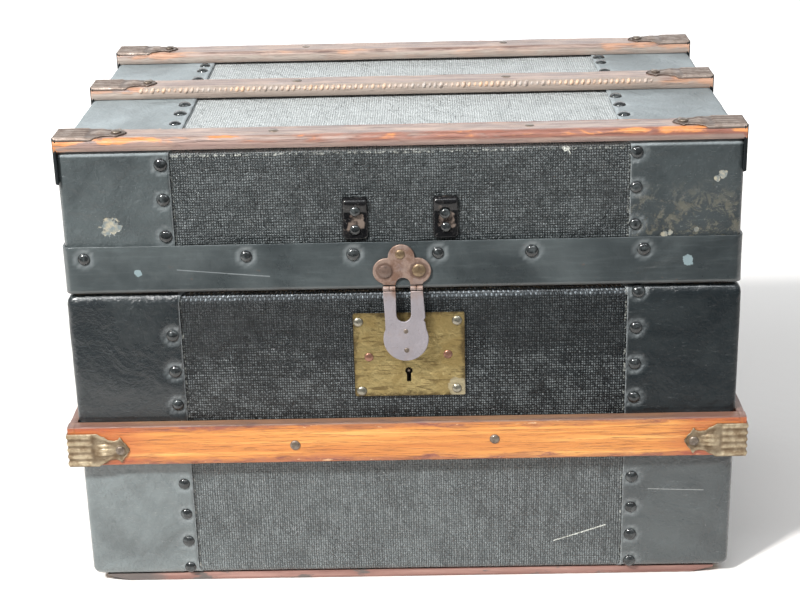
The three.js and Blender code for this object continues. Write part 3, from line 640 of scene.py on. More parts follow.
def lining_paper():
    c = colours()
    f = Finish("lining_paper", {"Roughness": 0.9})
    leaves = []
    for shift in (0.0, 0.5):
        across = f.maths("SINE", f.times(f.plus(f.x, f.y, shift * 0.022), math.tau / 0.022))
        rise = f.maths("SINE", f.times(f.plus(f.z, f.times(f.y, 0.5), shift * 0.018), math.tau / 0.018))
        leaves.append(f.times(across, rise))
    sprig = f.fade(f.most(*leaves), 0.72, 0.86)
    stains = f.cloud(12, 6, 0.6, warp=0.7)
    paper = f.blend(f.fade(stains, 0.4, 0.75), c.paper, tone(164, 136, 92))
    paper = f.blend(f.times(sprig, 0.5), paper, tone(128, 134, 112))
    return f.done(paper, f.fade(stains, 0.3, 0.7, 0.82, 0.95), f.bump(f.cloud(900, 4), 0.0001))


def glowing_floor():
    s = studio()
    f = Finish("glowing_floor", {"Roughness": 0.75})
    mottle = f.cloud(3.0, 5)
    # The floor glows more further back: painted light that brightens the floor there and gives the lid's top
    # a reflection.
    f.shader.inputs["Emission Color"].default_value = (1.0, 1.0, 1.0, 1.0)
    f.feed("Emission Strength", f.fade(f.y, 0.2, 1.2, 0.0, 0.8))
    return f.done(
        f.blend(f.times(mottle, 0.12), s.floor, tone(222, 216, 210)), None, f.bump(f.cloud(90, 4), 0.0003)
    )


# ---------------------------------------------------------------- making meshes
def place_piece(piece, body, nodes=()):
    """Gives a finished object its body and the CAD nodes it stands for."""
    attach(piece, body)
    if nodes:
        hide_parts(*nodes)
    return piece


def new_object(name, data):
    """An object in the scene, at the origin."""
    made = bpy.data.objects.new(name, data)
    bpy.context.scene.collection.objects.link(made)
    return made


def shown(mesh, material, crease):
    """A smooth-shaded object of the mesh. Its edges sharper than crease degrees stay sharp."""
    mesh.materials.append(material)
    for face in mesh.polygons:
        face.use_smooth = True
    mesh.set_sharp_from_angle(angle=math.radians(crease))
    return new_object(mesh.name, mesh)


def mesh_object(name, vertices, faces, material, crease=35.0):
    mesh = bpy.data.meshes.new(name)
    mesh.from_pydata([tuple(v) for v in vertices], [], faces)
    mesh.update()
    return shown(mesh, material, crease)


def built_object(bm, name, material, crease):
    """An object of a bmesh, with its faces turned outwards."""
    bmesh.ops.recalc_face_normals(bm, faces=bm.faces[:])
    mesh = bpy.data.meshes.new(name)
    bm.to_mesh(mesh)
    bm.free()
    return shown(mesh, material, crease)


def solidify(piece, thickness):
    """Gives a sheet its thickness, inwards from the side that shows."""
    solid = piece.modifiers.new("thickness", "SOLIDIFY")
    solid.thickness = thickness
    solid.offset = -1.0
    return piece


def soften(piece, width, segments=2):
    bevel = piece.modifiers.new("soft_edges", "BEVEL")
    bevel.width = width
    bevel.segments = segments
    bevel.limit_method = "ANGLE"
    bevel.angle_limit = math.radians(40)
    return piece


def grid_lines(low, high, step, cuts):
    """Values from low to high, no further apart than step, with one at each cut."""
    marks = sorted({low, high, *[cut for cut in cuts if low < cut < high]})
    lines = []
    for start, end in zip(marks, marks[1:]):
        count = max(1, math.ceil((end - start) / step - 1e-6))
        lines += [start + (end - start) * i / count for i in range(count)]
    return lines + [marks[-1]]


class Form:
    """A box with rounded uprights, shoulder and foot. Points on its sharp faces are named by side."""

    FOOT_TURN = math.radians(80)

    def __init__(self, half_x, half_y, low, high, corner, shoulder, foot=0.0):
        self.half_x, self.half_y, self.low, self.high = half_x, half_y, low, high
        self.corner, self.shoulder, self.foot = corner, shoulder, foot

    def drawn_in(self, inset):
        least = 0.5 * MM
        return Form(
            self.half_x - inset,
            self.half_y - inset,
            self.low,
            self.high - inset,
            max(self.corner - inset, least),
            max(self.shoulder - inset, least),
            max(self.foot - inset, 0.0),
        )

    def flat(self, side, across, along):
        """The point of the sharp box."""
        return {
            "front": (across, -self.half_y, along),
            "back": (across, self.half_y, along),
            "left": (-self.half_x, across, along),
            "right": (self.half_x, across, along),
            "top": (across, along, self.high),
        }[side]

    def rounded(self, side, point):
        """Where that point goes on the rounded box."""
        x, y, z = point
        beyond_x = abs(x) - (self.half_x - self.corner)
        beyond_y = abs(y) - (self.half_y - self.corner)
        if beyond_x > 0 and beyond_y > 0:
            reach = max(beyond_x, beyond_y) / math.hypot(beyond_x, beyond_y)
            x = math.copysign(self.half_x - self.corner + beyond_x * reach, x)
            y = math.copysign(self.half_y - self.corner + beyond_y * reach, y)
        inset = 0.0
        if side == "top":
            inset = self.shoulder
        elif z > self.high - self.shoulder:
            turn = (z - self.high + self.shoulder) / self.shoulder * math.pi / 2
            inset = self.shoulder * (1 - math.cos(turn))
            z = self.high - self.shoulder * (1 - math.sin(turn))
        elif z < self.low + self.foot:
            turn = (self.low + self.foot - z) / self.foot * self.FOOT_TURN
            inset = self.foot * (1 - math.cos(turn))
            z = self.low + self.foot * (1 - math.sin(turn))
        return Vector((x * (1 - inset / self.half_x), y * (1 - inset / self.half_y), z))

    def lines(self, step, cuts_x=(), cuts_y=(), cuts_z=()):
        bend = (0.0, 0.5, 1.0)
        edge_x = [side * (self.half_x - self.corner * share) for share in bend for side in (-1, 1)]
        edge_y = [side * (self.half_y - self.corner * share) for share in bend for side in (-1, 1)]
        quarters = (0.25, 0.5, 0.75, 1.0)
        edge_z = [self.high - self.shoulder * share for share in quarters]
        edge_z += [self.low + self.foot * share for share in quarters]
        return (
            grid_lines(-self.half_x, self.half_x, step, [*cuts_x, *edge_x]),
            grid_lines(-self.half_y, self.half_y, step, [*cuts_y, *edge_y]),
            grid_lines(self.low, self.high, step, [*cuts_z, *edge_z]),
        )


def cover_mesh(form, sides, lines, wanted):
    """Squares over the named sides where wanted(x, y, z) is true, and each corner's flat place."""
    xs, ys, zs = lines
    vertices, faces, flats, index = [], [], [], {}
    for side in sides:
        across = ys if side in ("left", "right") else xs
        along = ys if side == "top" else zs
        for a0, a1 in zip(across, across[1:]):
            for b0, b1 in zip(along, along[1:]):
                if not wanted(*form.flat(side, (a0 + a1) / 2, (b0 + b1) / 2)):
                    continue
                corners = [(a0, b0), (a1, b0), (a1, b1), (a0, b1)]
                if side in ("back", "left"):
                    corners.reverse()
                ring = []
                for a, b in corners:
                    point = form.flat(side, a, b)
                    key = tuple(round(value, 6) for value in point)
                    if key not in index:
                        index[key] = len(vertices)
                        vertices.append(form.rounded(side, point))
                    ring.append(index[key])
                    flats.append((a, b))
                faces.append(ring)
    return vertices, faces, flats


def settle(mesh, nails, sag, seed, low):
    """Draws a cover in round its nails and lets it stand unevenly between them, but not at its foot."""
    count = len(mesh.vertices)
    points, normals = np.zeros(count * 3), np.zeros(count * 3)
    mesh.vertices.foreach_get("co", points)
    mesh.vertex_normals.foreach_get("vector", normals)
    points, normals = points.reshape(-1, 3), normals.reshape(-1, 3)
    shift = Vector((seed, seed * 1.7, seed * 0.3))
    uneven = [
        noise.noise(Vector(p) * 22 + shift) + 0.5 * noise.noise(Vector(p) * 60 + shift) for p in points
    ]
    lift = (np.array(uneven) * sag - sag) * np.clip((points[:, 2] - low - 2 * MM) / (9 * MM), 0.1, 1.0)
    s, ring = sizes(), np.zeros(count)
    for nail in nails:
        away = np.linalg.norm(points - np.array(nail), axis=1)
        # ring is 1 on the rim round each nail's dimple, where the finishes paint a highlight with rubbed
        # paint.
        ring = np.maximum(ring, np.exp(-(((away - 1.25 * s.nail_radius) / (1.2 * MM)) ** 2)))
        lift -= s.dimple_depth * np.exp(-((away / s.dimple_radius) ** 2))
        lift += s.dimple_depth * 0.35 * np.exp(
            -(((away - 1.9 * s.dimple_radius) / (0.6 * s.dimple_radius)) ** 2)
        )
    moved = points + normals * np.minimum(lift, 0.0)[:, None]
    mesh.vertices.foreach_set("co", moved.ravel())
    mesh.attributes.new("ring", "FLOAT", "POINT").data.foreach_set("value", ring)
    mesh.update()


def make_cover(name, form, sides, wanted, material, thickness, nails=(), cuts=((), (), ()), sag=None):
    """A cover of the form's named sides, where wanted is true, settled on its nails."""
    lines = form.lines(sizes().cover_step, *cuts)
    vertices, faces, flats = cover_mesh(form, sides, lines, wanted)
    piece = mesh_object(name, vertices, faces, material, crease=60.0)
    layer = piece.data.uv_layers.new(name="cloth")
    layer.data.foreach_set("uv", [value for flat in flats for value in flat])
    settle(piece.data, nails, sizes().cloth_sag if sag is None else sag, len(name), form.low)
    return solidify(piece, thickness)


def cut_plate(name, outline, holes, material, to_place, thickness, edge=0.25 * MM):
    """A flat plate with holes, drawn in 2D and put in place by to_place(a, b, depth)."""
    bm = bmesh.new()
    edges = []
    for loop in (outline, *holes):
        ring = [bm.verts.new((a, b, 0.0)) for a, b in loop]
        if not holes:
            bm.faces.new(ring)
        edges += [bm.edges.new((ring[i - 1], ring[i])) for i in range(len(ring)) if holes]
    if holes:
        bmesh.ops.triangle_fill(bm, use_beauty=True, use_dissolve=False, edges=edges)
    made = bmesh.ops.extrude_face_region(bm, geom=bm.faces[:])
    for element in made["geom"]:
        if isinstance(element, bmesh.types.BMVert):
            element.co.z = thickness
    for vertex in bm.verts:
        vertex.co = to_place(*vertex.co)
    return soften(built_object(bm, name, material, 35.0), edge)


def upright(y):
    """How cut_plate stands a plate up facing the front, with its front at y."""
    return lambda a, b, depth: Vector((a, y + depth, b))


def arc(centre_a, centre_b, radius, start, end, steps):
    """Points round a circle, from start to end degrees."""
    turns = [math.radians(start + (end - start) * i / steps) for i in range(steps + 1)]
    return [(centre_a + radius * math.cos(t), centre_b + radius * math.sin(t)) for t in turns]


def lathe(bm, profile, centre, axis, sides=28):
    """A turned shape: profile is (distance from the axis, height along it), ending on the axis."""
    turn = axis.to_track_quat("Z", "Y")
    rings = []
    for radius, height in profile:
        if radius == 0:
            rings.append([bm.verts.new(centre + turn @ Vector((0, 0, height)))])
            continue
        spots = arc(0.0, 0.0, radius, 0, 360, sides)[:-1]
        rings.append([bm.verts.new(centre + turn @ Vector((a, b, height))) for a, b in spots])
    for low, high in zip(rings, rings[1:]):
        for i in range(sides):
            j = (i + 1) % sides
            corners = [low[i % len(low)], low[j % len(low)], high[j % len(high)], high[i % len(high)]]
            bm.faces.new(list(dict.fromkeys(corners)))


def turned(name, shapes, material, sides=28):
    """One object of several turned shapes, each (profile, centre, axis)."""
    bm = bmesh.new()
    for profile, centre, axis in shapes:
        lathe(bm, profile, centre, axis, sides)
    return built_object(bm, name, material, 40.0)


def rod_profile(radius, long, bevel=0.2 * MM):
    """A rod of that length along its axis, with softened ends."""
    half, neck = long / 2, radius - bevel
    return [
        (0, -half), (neck, -half), (radius, -half + bevel), (radius, half - bevel), (neck, half), (0, half)
    ]


# ---------------------------------------------------------------- the trunk's forms, from the frame
case_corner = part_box("case_corner_front_right")
lid_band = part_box("lid_end_band_right")
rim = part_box("lid_rim_band")
CASE_CORNER_R, CASE_SHOULDER_R, CASE_FOOT_R = 4 * MM, 7 * MM, 6 * MM
LID_SHOULDER_R = 3 * MM
COVER_T, CLOTH_T, CLOTH_INSET, RIM_T = 1.0 * MM, 0.8 * MM, 1.3 * MM, 1.2 * MM
CASE_FORM = Form(
    case_corner[1].x,
    -case_corner[0].y,
    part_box("case_bottom_board")[0].z,
    case_corner[1].z,
    CASE_CORNER_R,
    CASE_SHOULDER_R,
    CASE_FOOT_R,
)
LID_FORM = Form(lid_band[1].x, -lid_band[0].y, lid_band[0].z, lid_band[1].z, CASE_CORNER_R, LID_SHOULDER_R)
RIM_FORM = Form(rim[1].x, rim[1].y, rim[0].z, rim[1].z, 5.5 * MM, 0.5 * MM)
SEAM = case_corner[0].x
CASE_FLANGE = -case_corner[1].y
FOLD = 24 * MM
LID_FLANGE, LID_FOLD = LID_FORM.half_y - FOLD, LID_FORM.high - FOLD
FIBRE_SAG = 0.15 * MM
TAB_MIDDLES = ((-0.0272, -0.1222, 0.245), (0.0268, -0.1222, 0.245))
WALLS = ("front", "back", "left", "right")
SIDES = (("left", -1), ("right", 1))


# ---------------------------------------------------------------- where the nails go
# Places along the front, the back and the top are x; those round the ends are y; the heights are z.
LID_SEAM_NAILS = {-0.141: (0.2808, 0.2592, 0.2362), 0.1395: (0.283, 0.2615, 0.2385)}
LID_TOP_NAILS = (-0.062, -0.038, -0.016, 0.054, 0.079, 0.0945)
LID_TOP_SHARE = 0.993
LID_END_CORNER, LID_END_CORNER_NAILS = 0.1105, (0.262, 0.2395)
LID_END_NAILS, LID_END_NAIL_Z = (-0.075, -0.035, 0.048, 0.085), 0.2765
RIM_NAIL_Z = 0.2232
RIM_FRONT_NAILS = (-0.1913, -0.0935, -0.0292, 0.0218, 0.078, 0.1449)
RIM_BACK_NAILS = (-0.186, -0.045, 0.05, 0.182)
RIM_END_NAILS = (-0.098, -0.03, 0.036, 0.1)
CASE_NAILS = (0.1725, 0.1485, 0.126, 0.071, 0.0495, 0.03, 0.0108)
CASE_NAIL_X, CASE_NAIL_Y = 0.1415, 0.1125
SHOULDER_NAIL_X, SHOULDER_NAIL_LEAN = 0.1425, math.radians(25)


def lid_cover_nails():
    """Nails in the lid's end bands, as (point, direction)."""
    f, found = LID_FORM, []
    for x, heights in LID_SEAM_NAILS.items():
        for z in heights:
            found += [((x, -f.half_y, z), FRONT), ((x, f.half_y, z), BACK)]
        found += [((x * LID_TOP_SHARE, y, f.high), UP) for y in LID_TOP_NAILS]
    for side in (-1, 1):
        way, end = RIGHT * side, side * f.half_x
        for y in (-LID_END_CORNER, LID_END_CORNER):
            found += [((end, y, z), way) for z in LID_END_CORNER_NAILS]
        found += [((end, y, LID_END_NAIL_Z), way) for y in LID_END_NAILS]
    return found


def rim_nails():
    """Nails in the rim band."""
    f = RIM_FORM
    found = [((x, -f.half_y, RIM_NAIL_Z), FRONT) for x in RIM_FRONT_NAILS]
    found += [((x, f.half_y, RIM_NAIL_Z), BACK) for x in RIM_BACK_NAILS]
    for side in (-1, 1):
        found += [((side * f.half_x, y, RIM_NAIL_Z), RIGHT * side) for y in RIM_END_NAILS]
    return found


def case_cover_nails():
    """Nails in the case's corner pieces."""
    f, found = CASE_FORM, []
    for z in CASE_NAILS:
        for x in (-CASE_NAIL_X, CASE_NAIL_X):
            found += [((x, -f.half_y, z), FRONT), ((x, f.half_y, z), BACK)]
        for y in (-CASE_NAIL_Y, CASE_NAIL_Y):
            found += [((side * f.half_x, y, z), RIGHT * side) for side in (-1, 1)]
    across, up = math.cos(SHOULDER_NAIL_LEAN), math.sin(SHOULDER_NAIL_LEAN)
    point = (SHOULDER_NAIL_X, -f.half_y + f.shoulder * (1 - across), f.high - f.shoulder * (1 - up))
    return [*found, (point, Vector((0, -across, up)))]


def points_of(nails):
    return [point for point, _ in nails]


# ---------------------------------------------------------------- covers
def everywhere(x, y, z):
    return True


def make_cloth():
    """The painted cloth of the case, with an opening over the lock case, and of the lid."""
    cloth = finish(painted_cloth)
    low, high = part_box("lock_case")

    def off_lock(x, y, z):
        return y > 0 or not (low.x < x < high.x and low.z < z < high.z)

    cuts = ((-SEAM, SEAM, low.x, high.x), (), (low.z, high.z))
    inner = CASE_FORM.drawn_in(CLOTH_INSET)
    piece = make_cover("case_cloth", inner, WALLS, off_lock, cloth, CLOTH_T, [], cuts)
    place_piece(piece, "case", ["case_canvas"])
    inner = LID_FORM.drawn_in(CLOTH_INSET)
    piece = make_cover("lid_cloth", inner, (*WALLS, "top"), everywhere, cloth, CLOTH_T, TAB_MIDDLES)
    place_piece(piece, "lid", ["lid_canvas"])


def make_corners():
    """The four fibre corner pieces of the case."""
    nails = points_of(case_cover_nails())
    cuts = ((-SEAM, SEAM), (-CASE_FLANGE, CASE_FLANGE), ())
    for face, way in (("front", -1), ("back", 1)):
        for side, hand in SIDES:

            def area(x, y, z, way=way, hand=hand):
                return x * hand > SEAM and y * way > CASE_FLANGE

            name = f"case_corner_{face}_{side}"
            piece = make_cover(
                name + "_cover",
                CASE_FORM,
                (face, side),
                area,
                finish(fibre_board),
                COVER_T,
                nails,
                cuts,
                FIBRE_SAG,
            )
            place_piece(piece, "case", [name])


def make_end_bands():
    """The fibre over both ends of the lid, folded down round the end boards."""
    nails = points_of(lid_cover_nails())
    cuts = ((-SEAM, SEAM), (-LID_FLANGE, LID_FLANGE), (LID_FOLD,))
    for side, hand in SIDES:

        def area(x, y, z, hand=hand):
            on_end = abs(x) > LID_FORM.half_x - 1e-5
            return x * hand > SEAM and (not on_end or abs(y) > LID_FLANGE or z > LID_FOLD)

        piece = make_cover(
            f"lid_end_band_{side}_cover",
            LID_FORM,
            ("front", "back", side, "top"),
            area,
            finish(fibre_board),
            COVER_T,
            nails,
            cuts,
            FIBRE_SAG,
        )
        place_piece(piece, "lid", [f"lid_end_band_{side}"])


def make_rim_band():
    """The steel band round the lid's lower edge."""
    nails = points_of(rim_nails())
    piece = make_cover(
        "rim_band", RIM_FORM, WALLS, everywhere, finish(japanned_steel), RIM_T, nails, sag=FIBRE_SAG
    )
    place_piece(piece, "lid", ["lid_rim_band"])


# ---------------------------------------------------------------- wooden bars
LID_ARRIS, LID_UNDERCUT, CASE_ARRIS, RUNNER_ARRIS = 3.6 * MM, 1.3 * MM, 1.2 * MM, 0.8 * MM
RUNNER_TAPER = 14 * MM


def bar_section(width, thickness, arris, steps=4, under=0.0):
    """Outline of a bar with two rounded arrises: (across, out, edge), edge being 1 at an arris."""
    half = width / 2
    points = [(-half + under, 0.0, 0.2), (-half, under + (thickness - arris - under) * 0.3, 0.25)]
    points.append((-half, thickness - arris, 0.7))
    for i in range(1, steps):
        turn = i / steps * math.pi / 2
        points.append((-half + arris * (1 - math.cos(turn)), thickness - arris * (1 - math.sin(turn)), 1.0))
    flat = 8
    for i in range(flat + 1):
        across = -half + arris + (width - 2 * arris) * i / flat
        near = abs(across) / (half - arris)
        points.append((across, thickness, max(0.0, (near - 0.55) / 0.45) * 0.7))
    points += [(-a, b, e) for a, b, e in reversed(points[: 3 + steps - 1])]
    return points


def wood_bar(name, start, end, across, out, section, material, seed, step=2.5 * MM, taper=None):
    """A bar from start to end. Its face looks along out, and its width runs along across."""
    start, end = Vector(start), Vector(end)
    along = end - start
    count = max(2, math.ceil(along.length / step))
    vertices, faces, edges = [], [], []
    shift = Vector((seed * 3.1, seed, -seed))
    for i in range(count + 1):
        centre = start + along * (i / count)
        squeeze = taper(i / count) if taper else 1.0
        for a, b, edge in section:
            point = centre + across * a + out * (b * squeeze)
            rough = noise.noise(point * 45 + shift) * 0.35 * MM + noise.noise(
                point * 190 + shift
            ) * 0.16 * MM
            vertices.append(point - out * max(0.0, rough) * (0.4 + edge) * min(1.0, b / (2 * MM)))
            edges.append(edge if 0 < i < count else 1.0)
    size = len(section)
    for i in range(count):
        for j in range(size):
            k = (j + 1) % size
            faces.append([i * size + j, i * size + k, (i + 1) * size + k, (i + 1) * size + j])
    faces.append(list(range(size))[::-1])
    faces.append([count * size + j for j in range(size)])
    if across.cross(out).dot(along) > 0:
        faces = [face[::-1] for face in faces]
    piece = mesh_object(name, vertices, faces, material, crease=50.0)
    layer = piece.data.attributes.new("edge", "FLOAT", "POINT")
    layer.data.foreach_set("value", edges)
    return piece


def make_slats():
    """The three slats on the lid and the four round the case."""
    for number, row in enumerate(("front", "middle", "back")):
        node = f"lid_slat_{row}"
        low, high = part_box(node)
        y = (low.y + high.y) / 2
        section = bar_section(high.y - low.y, high.z - low.z, LID_ARRIS, 6, LID_UNDERCUT)
        bar = wood_bar(
            f"{node}_wood",
            (low.x, y, low.z),
            (high.x, y, low.z),
            BACK,
            UP,
            section,
            finish(oak, 1),
            number + 2,
        )
        place_piece(bar, "lid", [node])
    for number, (face, out) in enumerate(
        (("front", FRONT), ("back", BACK), ("left", -RIGHT), ("right", RIGHT))
    ):
        node = f"case_slat_{face}"
        low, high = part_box(node)
        z = (low.z + high.z) / 2
        if out.y:
            wall = high.y if out.y < 0 else low.y
            ends = (low.x, wall, z), (high.x, wall, z)
            thick = high.y - low.y
        else:
            wall = high.x if out.x < 0 else low.x
            ends = (wall, low.y, z), (wall, high.y, z)
            thick = high.x - low.x
        section = bar_section(high.z - low.z, thick, CASE_ARRIS)
        bar = wood_bar(f"{node}_wood", *ends, UP, out, section, finish(oak, 0), number + 11)
        place_piece(bar, "case", [node])


def make_runners():
    """The three runners under the case, thinner at their ends."""
    for number, row in enumerate(("front", "middle", "back")):
        node = f"runner_{row}"
        low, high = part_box(node)
        y = (low.y + high.y) / 2
        section = bar_section(high.y - low.y, CASE_FORM.low - low.z, RUNNER_ARRIS)

        def taper(share, long=high.x - low.x):
            return min(1.0, 0.3 + 0.7 * min(share, 1 - share) * long / RUNNER_TAPER)

        bar = wood_bar(
            f"{node}_wood",
            (low.x, y, CASE_FORM.low),
            (high.x, y, CASE_FORM.low),
            BACK,
            -UP,
            section,
            finish(painted_runner),
            number + 21,
            taper=taper,
        )
        place_piece(bar, "case", [node])


# ---------------------------------------------------------------- repeated pieces, by Geometry Nodes
def new_tree(name, inputs):
    """A Geometry Nodes tree with a geometry input and output and the given named inputs."""
    tree = bpy.data.node_groups.new(name, "GeometryNodeTree")
    tree.interface.new_socket("Geometry", in_out="INPUT", socket_type="NodeSocketGeometry")
    for label, kind in inputs.items():
        tree.interface.new_socket(label, in_out="INPUT", socket_type=kind)
    tree.interface.new_socket("Geometry", in_out="OUTPUT", socket_type="NodeSocketGeometry")
    return tree, tree.nodes.new("NodeGroupInput"), tree.nodes.new("NodeGroupOutput")


def tree_node(tree, kind, links, **settings):
    node = tree.nodes.new(kind)
    for key, value in settings.items():
        setattr(node, key, value)
    for key, value in links.items():
        if isinstance(value, bpy.types.NodeSocket):
            tree.links.new(value, node.inputs[key])
        else:
            node.inputs[key].default_value = value
    return node


def end_tree(tree, given, out, copies):
    """Makes the copies real, smooth and of the given material, and ends the tree with them."""
    real = tree_node(tree, "GeometryNodeRealizeInstances", {0: copies.outputs[0]})
    smooth = tree_node(tree, "GeometryNodeSetShadeSmooth", {0: real.outputs[0]})
    links = {"Geometry": smooth.outputs[0], "Material": given.outputs["Material"]}
    tree.links.new(tree_node(tree, "GeometryNodeSetMaterial", links).outputs[0], out.inputs[0])
    return tree


def head_tree():
    """The tree that puts a domed head on each point, facing the way the point's facing attribute says."""
    if "domed_heads" in bpy.data.node_groups:
        return bpy.data.node_groups["domed_heads"]
    kinds = {
        "Head Radius": "NodeSocketFloat",
        "Dome": "NodeSocketFloat",
        "Seed": "NodeSocketInt",
        "Material": "NodeSocketMaterial",
    }
    tree, given, out = new_tree("domed_heads", kinds)
    put = partial(tree_node, tree)
    ball = put("GeometryNodeMeshUVSphere", {"Segments": 18, "Rings": 12, "Radius": 1.0})
    shape = put("ShaderNodeCombineXYZ", {0: 1.0, 1: 1.0, 2: given.outputs["Dome"]})
    flat = put("GeometryNodeTransform", {"Geometry": ball.outputs["Mesh"], "Scale": shape.outputs[0]})
    facing = put("GeometryNodeInputNamedAttribute", {"Name": "facing"}, data_type="FLOAT_VECTOR")
    turn = put("FunctionNodeAlignRotationToVector", {"Vector": facing.outputs[0]}, axis="Z")
    vary = put(
        "FunctionNodeRandomValue", {2: 0.92, 3: 1.07, "Seed": given.outputs["Seed"]}, data_type="FLOAT"
    )
    size = put(
        "ShaderNodeMath", {0: vary.outputs[1], 1: given.outputs["Head Radius"]}, operation="MULTIPLY"
    )
    heads = put(
        "GeometryNodeInstanceOnPoints",
        {
            "Points": given.outputs["Geometry"],
            "Instance": flat.outputs[0],
            "Rotation": turn.outputs[0],
            "Scale": size.outputs[0],
        },
    )
    return end_tree(tree, given, out, heads)


def bead_tree():
    """The tree that cuts a row of slanted beads from the start point, pitch apart along X."""
    if "bead_row" in bpy.data.node_groups:
        return bpy.data.node_groups["bead_row"]
    kinds = {
        "Count": "NodeSocketInt",
        "Pitch": "NodeSocketFloat",
        "Start": "NodeSocketVector",
        "Bead Size": "NodeSocketVector",
        "Slant": "NodeSocketFloat",
        "Seed": "NodeSocketInt",
        "Material": "NodeSocketMaterial",
    }
    tree, given, out = new_tree("bead_row", kinds)
    put = partial(tree_node, tree)
    offset = put("ShaderNodeCombineXYZ", {0: given.outputs["Pitch"]})
    row = put(
        "GeometryNodeMeshLine",
        {
            "Count": given.outputs["Count"],
            "Start Location": given.outputs["Start"],
            "Offset": offset.outputs[0],
        },
    )
    ball = put("GeometryNodeMeshUVSphere", {"Segments": 10, "Rings": 7, "Radius": 1.0})
    slant = put("ShaderNodeCombineXYZ", {1: given.outputs["Slant"]})
    vary = put(
        "FunctionNodeRandomValue", {2: 0.75, 3: 1.12, "Seed": given.outputs["Seed"]}, data_type="FLOAT"
    )
    size = put(
        "ShaderNodeVectorMath", {0: given.outputs["Bead Size"], "Scale": vary.outputs[1]}, operation="SCALE"
    )
    beads = put(
        "GeometryNodeInstanceOnPoints",
        {
            "Points": row.outputs[0],
            "Instance": ball.outputs["Mesh"],
            "Rotation": slant.outputs[0],
            "Scale": size.outputs[0],
        },
    )
    return end_tree(tree, given, out, beads)


def grow(name, carrier, tree, values):
    """Runs a tree on the carrier object and keeps the result as a plain mesh."""
    modifier = carrier.modifiers.new("grow", "NODES")
    modifier.node_group = tree
    for item in tree.interface.items_tree:
        if item.item_type == "SOCKET" and item.in_out == "INPUT" and item.name in values:
            modifier[item.identifier] = values[item.name]
    bpy.context.view_layer.update()
    evaluated = carrier.evaluated_get(bpy.context.evaluated_depsgraph_get())
    mesh = bpy.data.meshes.new_from_object(evaluated)
    mesh.name = name
    bpy.data.objects.remove(carrier)
    return new_object(name, mesh)


def nail_heads(name, nails, radius, dome, material, body, seed, nodes=()):
    """Domed heads of one kind at every (point, direction)."""
    mesh = bpy.data.meshes.new(name + "_points")
    mesh.from_pydata([tuple(point) for point, _ in nails], [], [])
    facing = mesh.attributes.new("facing", "FLOAT_VECTOR", "POINT")
    facing.data.foreach_set("vector", [value for _, way in nails for value in way])
    values = {"Head Radius": radius, "Dome": dome, "Seed": seed, "Material": material}
    piece = grow(name, new_object(name + "_points", mesh), head_tree(), values)
    return place_piece(piece, body, nodes)


def sunk(nails, depth):
    """The same nails, moved in by depth."""
    return [(Vector(point) - way * depth, way) for point, way in nails]


SLAT_FRONT_NAILS = ((-0.069, 0.101), (0.055, 0.103))
SLAT_BACK_NAILS, SLAT_END_NAILS, SLAT_NAIL_Z = (-0.12, 0.0, 0.12), (-0.045, 0.045), 0.102
LID_SLAT_NAILS = {"front": (-0.074, 0.077), "middle": (-0.0685, 0.069), "back": (-0.069, 0.072)}
SLAT_WEAR = 0.3 * MM


def make_nails():
    """The nails in the covers, the rim band and the slats."""
    s = sizes()
    black, iron = finish(nail_head, "black"), finish(nail_head, "iron")
    cover = sunk(lid_cover_nails() + rim_nails(), s.dimple_depth)
    nail_heads("lid_nails", cover, s.nail_radius, 0.62, black, "lid", 3)
    cover = sunk(case_cover_nails(), s.dimple_depth)
    nail_heads("case_nails", cover, s.nail_radius, 0.62, black, "case", 5)
    slat_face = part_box("case_slat_front")[0].y
    found = [((x, slat_face, z), FRONT) for x, z in SLAT_FRONT_NAILS]
    found += [((x, -slat_face, SLAT_NAIL_Z), BACK) for x in SLAT_BACK_NAILS]
    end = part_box("case_slat_right")[1].x
    found += [((side * end, y, SLAT_NAIL_Z), RIGHT * side) for side in (-1, 1) for y in SLAT_END_NAILS]
    nail_heads("case_slat_nails", found, s.small_nail_radius, 0.4, iron, "case", 7)
    found = []
    for row, spots in LID_SLAT_NAILS.items():
        low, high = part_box(f"lid_slat_{row}")
        found += [((x, (low.y + high.y) / 2, high.z - SLAT_WEAR), UP) for x in spots]
    nail_heads("lid_slat_nails", found, s.small_nail_radius, 0.35, iron, "lid", 9)


def make_beads():
    """The row of carved beads on the middle slat's front arris, and the ticks on the front slat."""
    s = sizes()
    rows = {
        "middle_slat_beads": (
            "lid_slat_middle", -1, s.bead_pitch, (1.5 * MM, 2.4 * MM, 2.1 * MM), 0.45, 0.17
        ),
        "front_slat_ticks": ("lid_slat_front", 1, 7.2 * MM, (0.9 * MM, 2.2 * MM, 1.1 * MM), -0.6, 0.15),
    }
    for seed, (name, (node, way, pitch, bead, slant, reach)) in enumerate(rows.items()):
        low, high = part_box(node)
        y = (low.y if way < 0 else high.y) - way * 1.6 * MM
        carrier = new_object(name + "_start", bpy.data.meshes.new(name + "_start"))
        values = {
            "Count": int(2 * reach / pitch),
            "Pitch": pitch,
            "Start": (-reach, y, high.z - 0.6 * MM - bead[2] * 0.85),
            "Bead Size": bead,
            "Slant": slant,
            "Seed": seed + 4,
            "Material": finish(beaded_oak),
        }
        place_piece(grow(name, carrier, bead_tree(), values), "lid")


# ---------------------------------------------------------------- stamped clamps
CLAMP_STAND, CLAMP_SHEET, CLAMP_BEND = 0.35 * MM, 0.5 * MM, 1.6 * MM
LID_BOSS, CASE_BOSS, BOSS_SINK = 6 * MM, 5.6 * MM, 0.1 * MM
# The clamp's outline: (distance from the tip in millimetres, share of the full half width).
SPADE = [
    (0, 0.04), (2.5, 0.42), (5.5, 0.78), (7.0, 0.62), (9.0, 0.57), (12.0, 0.6), (16.0, 0.82), (20, 1.0)
]


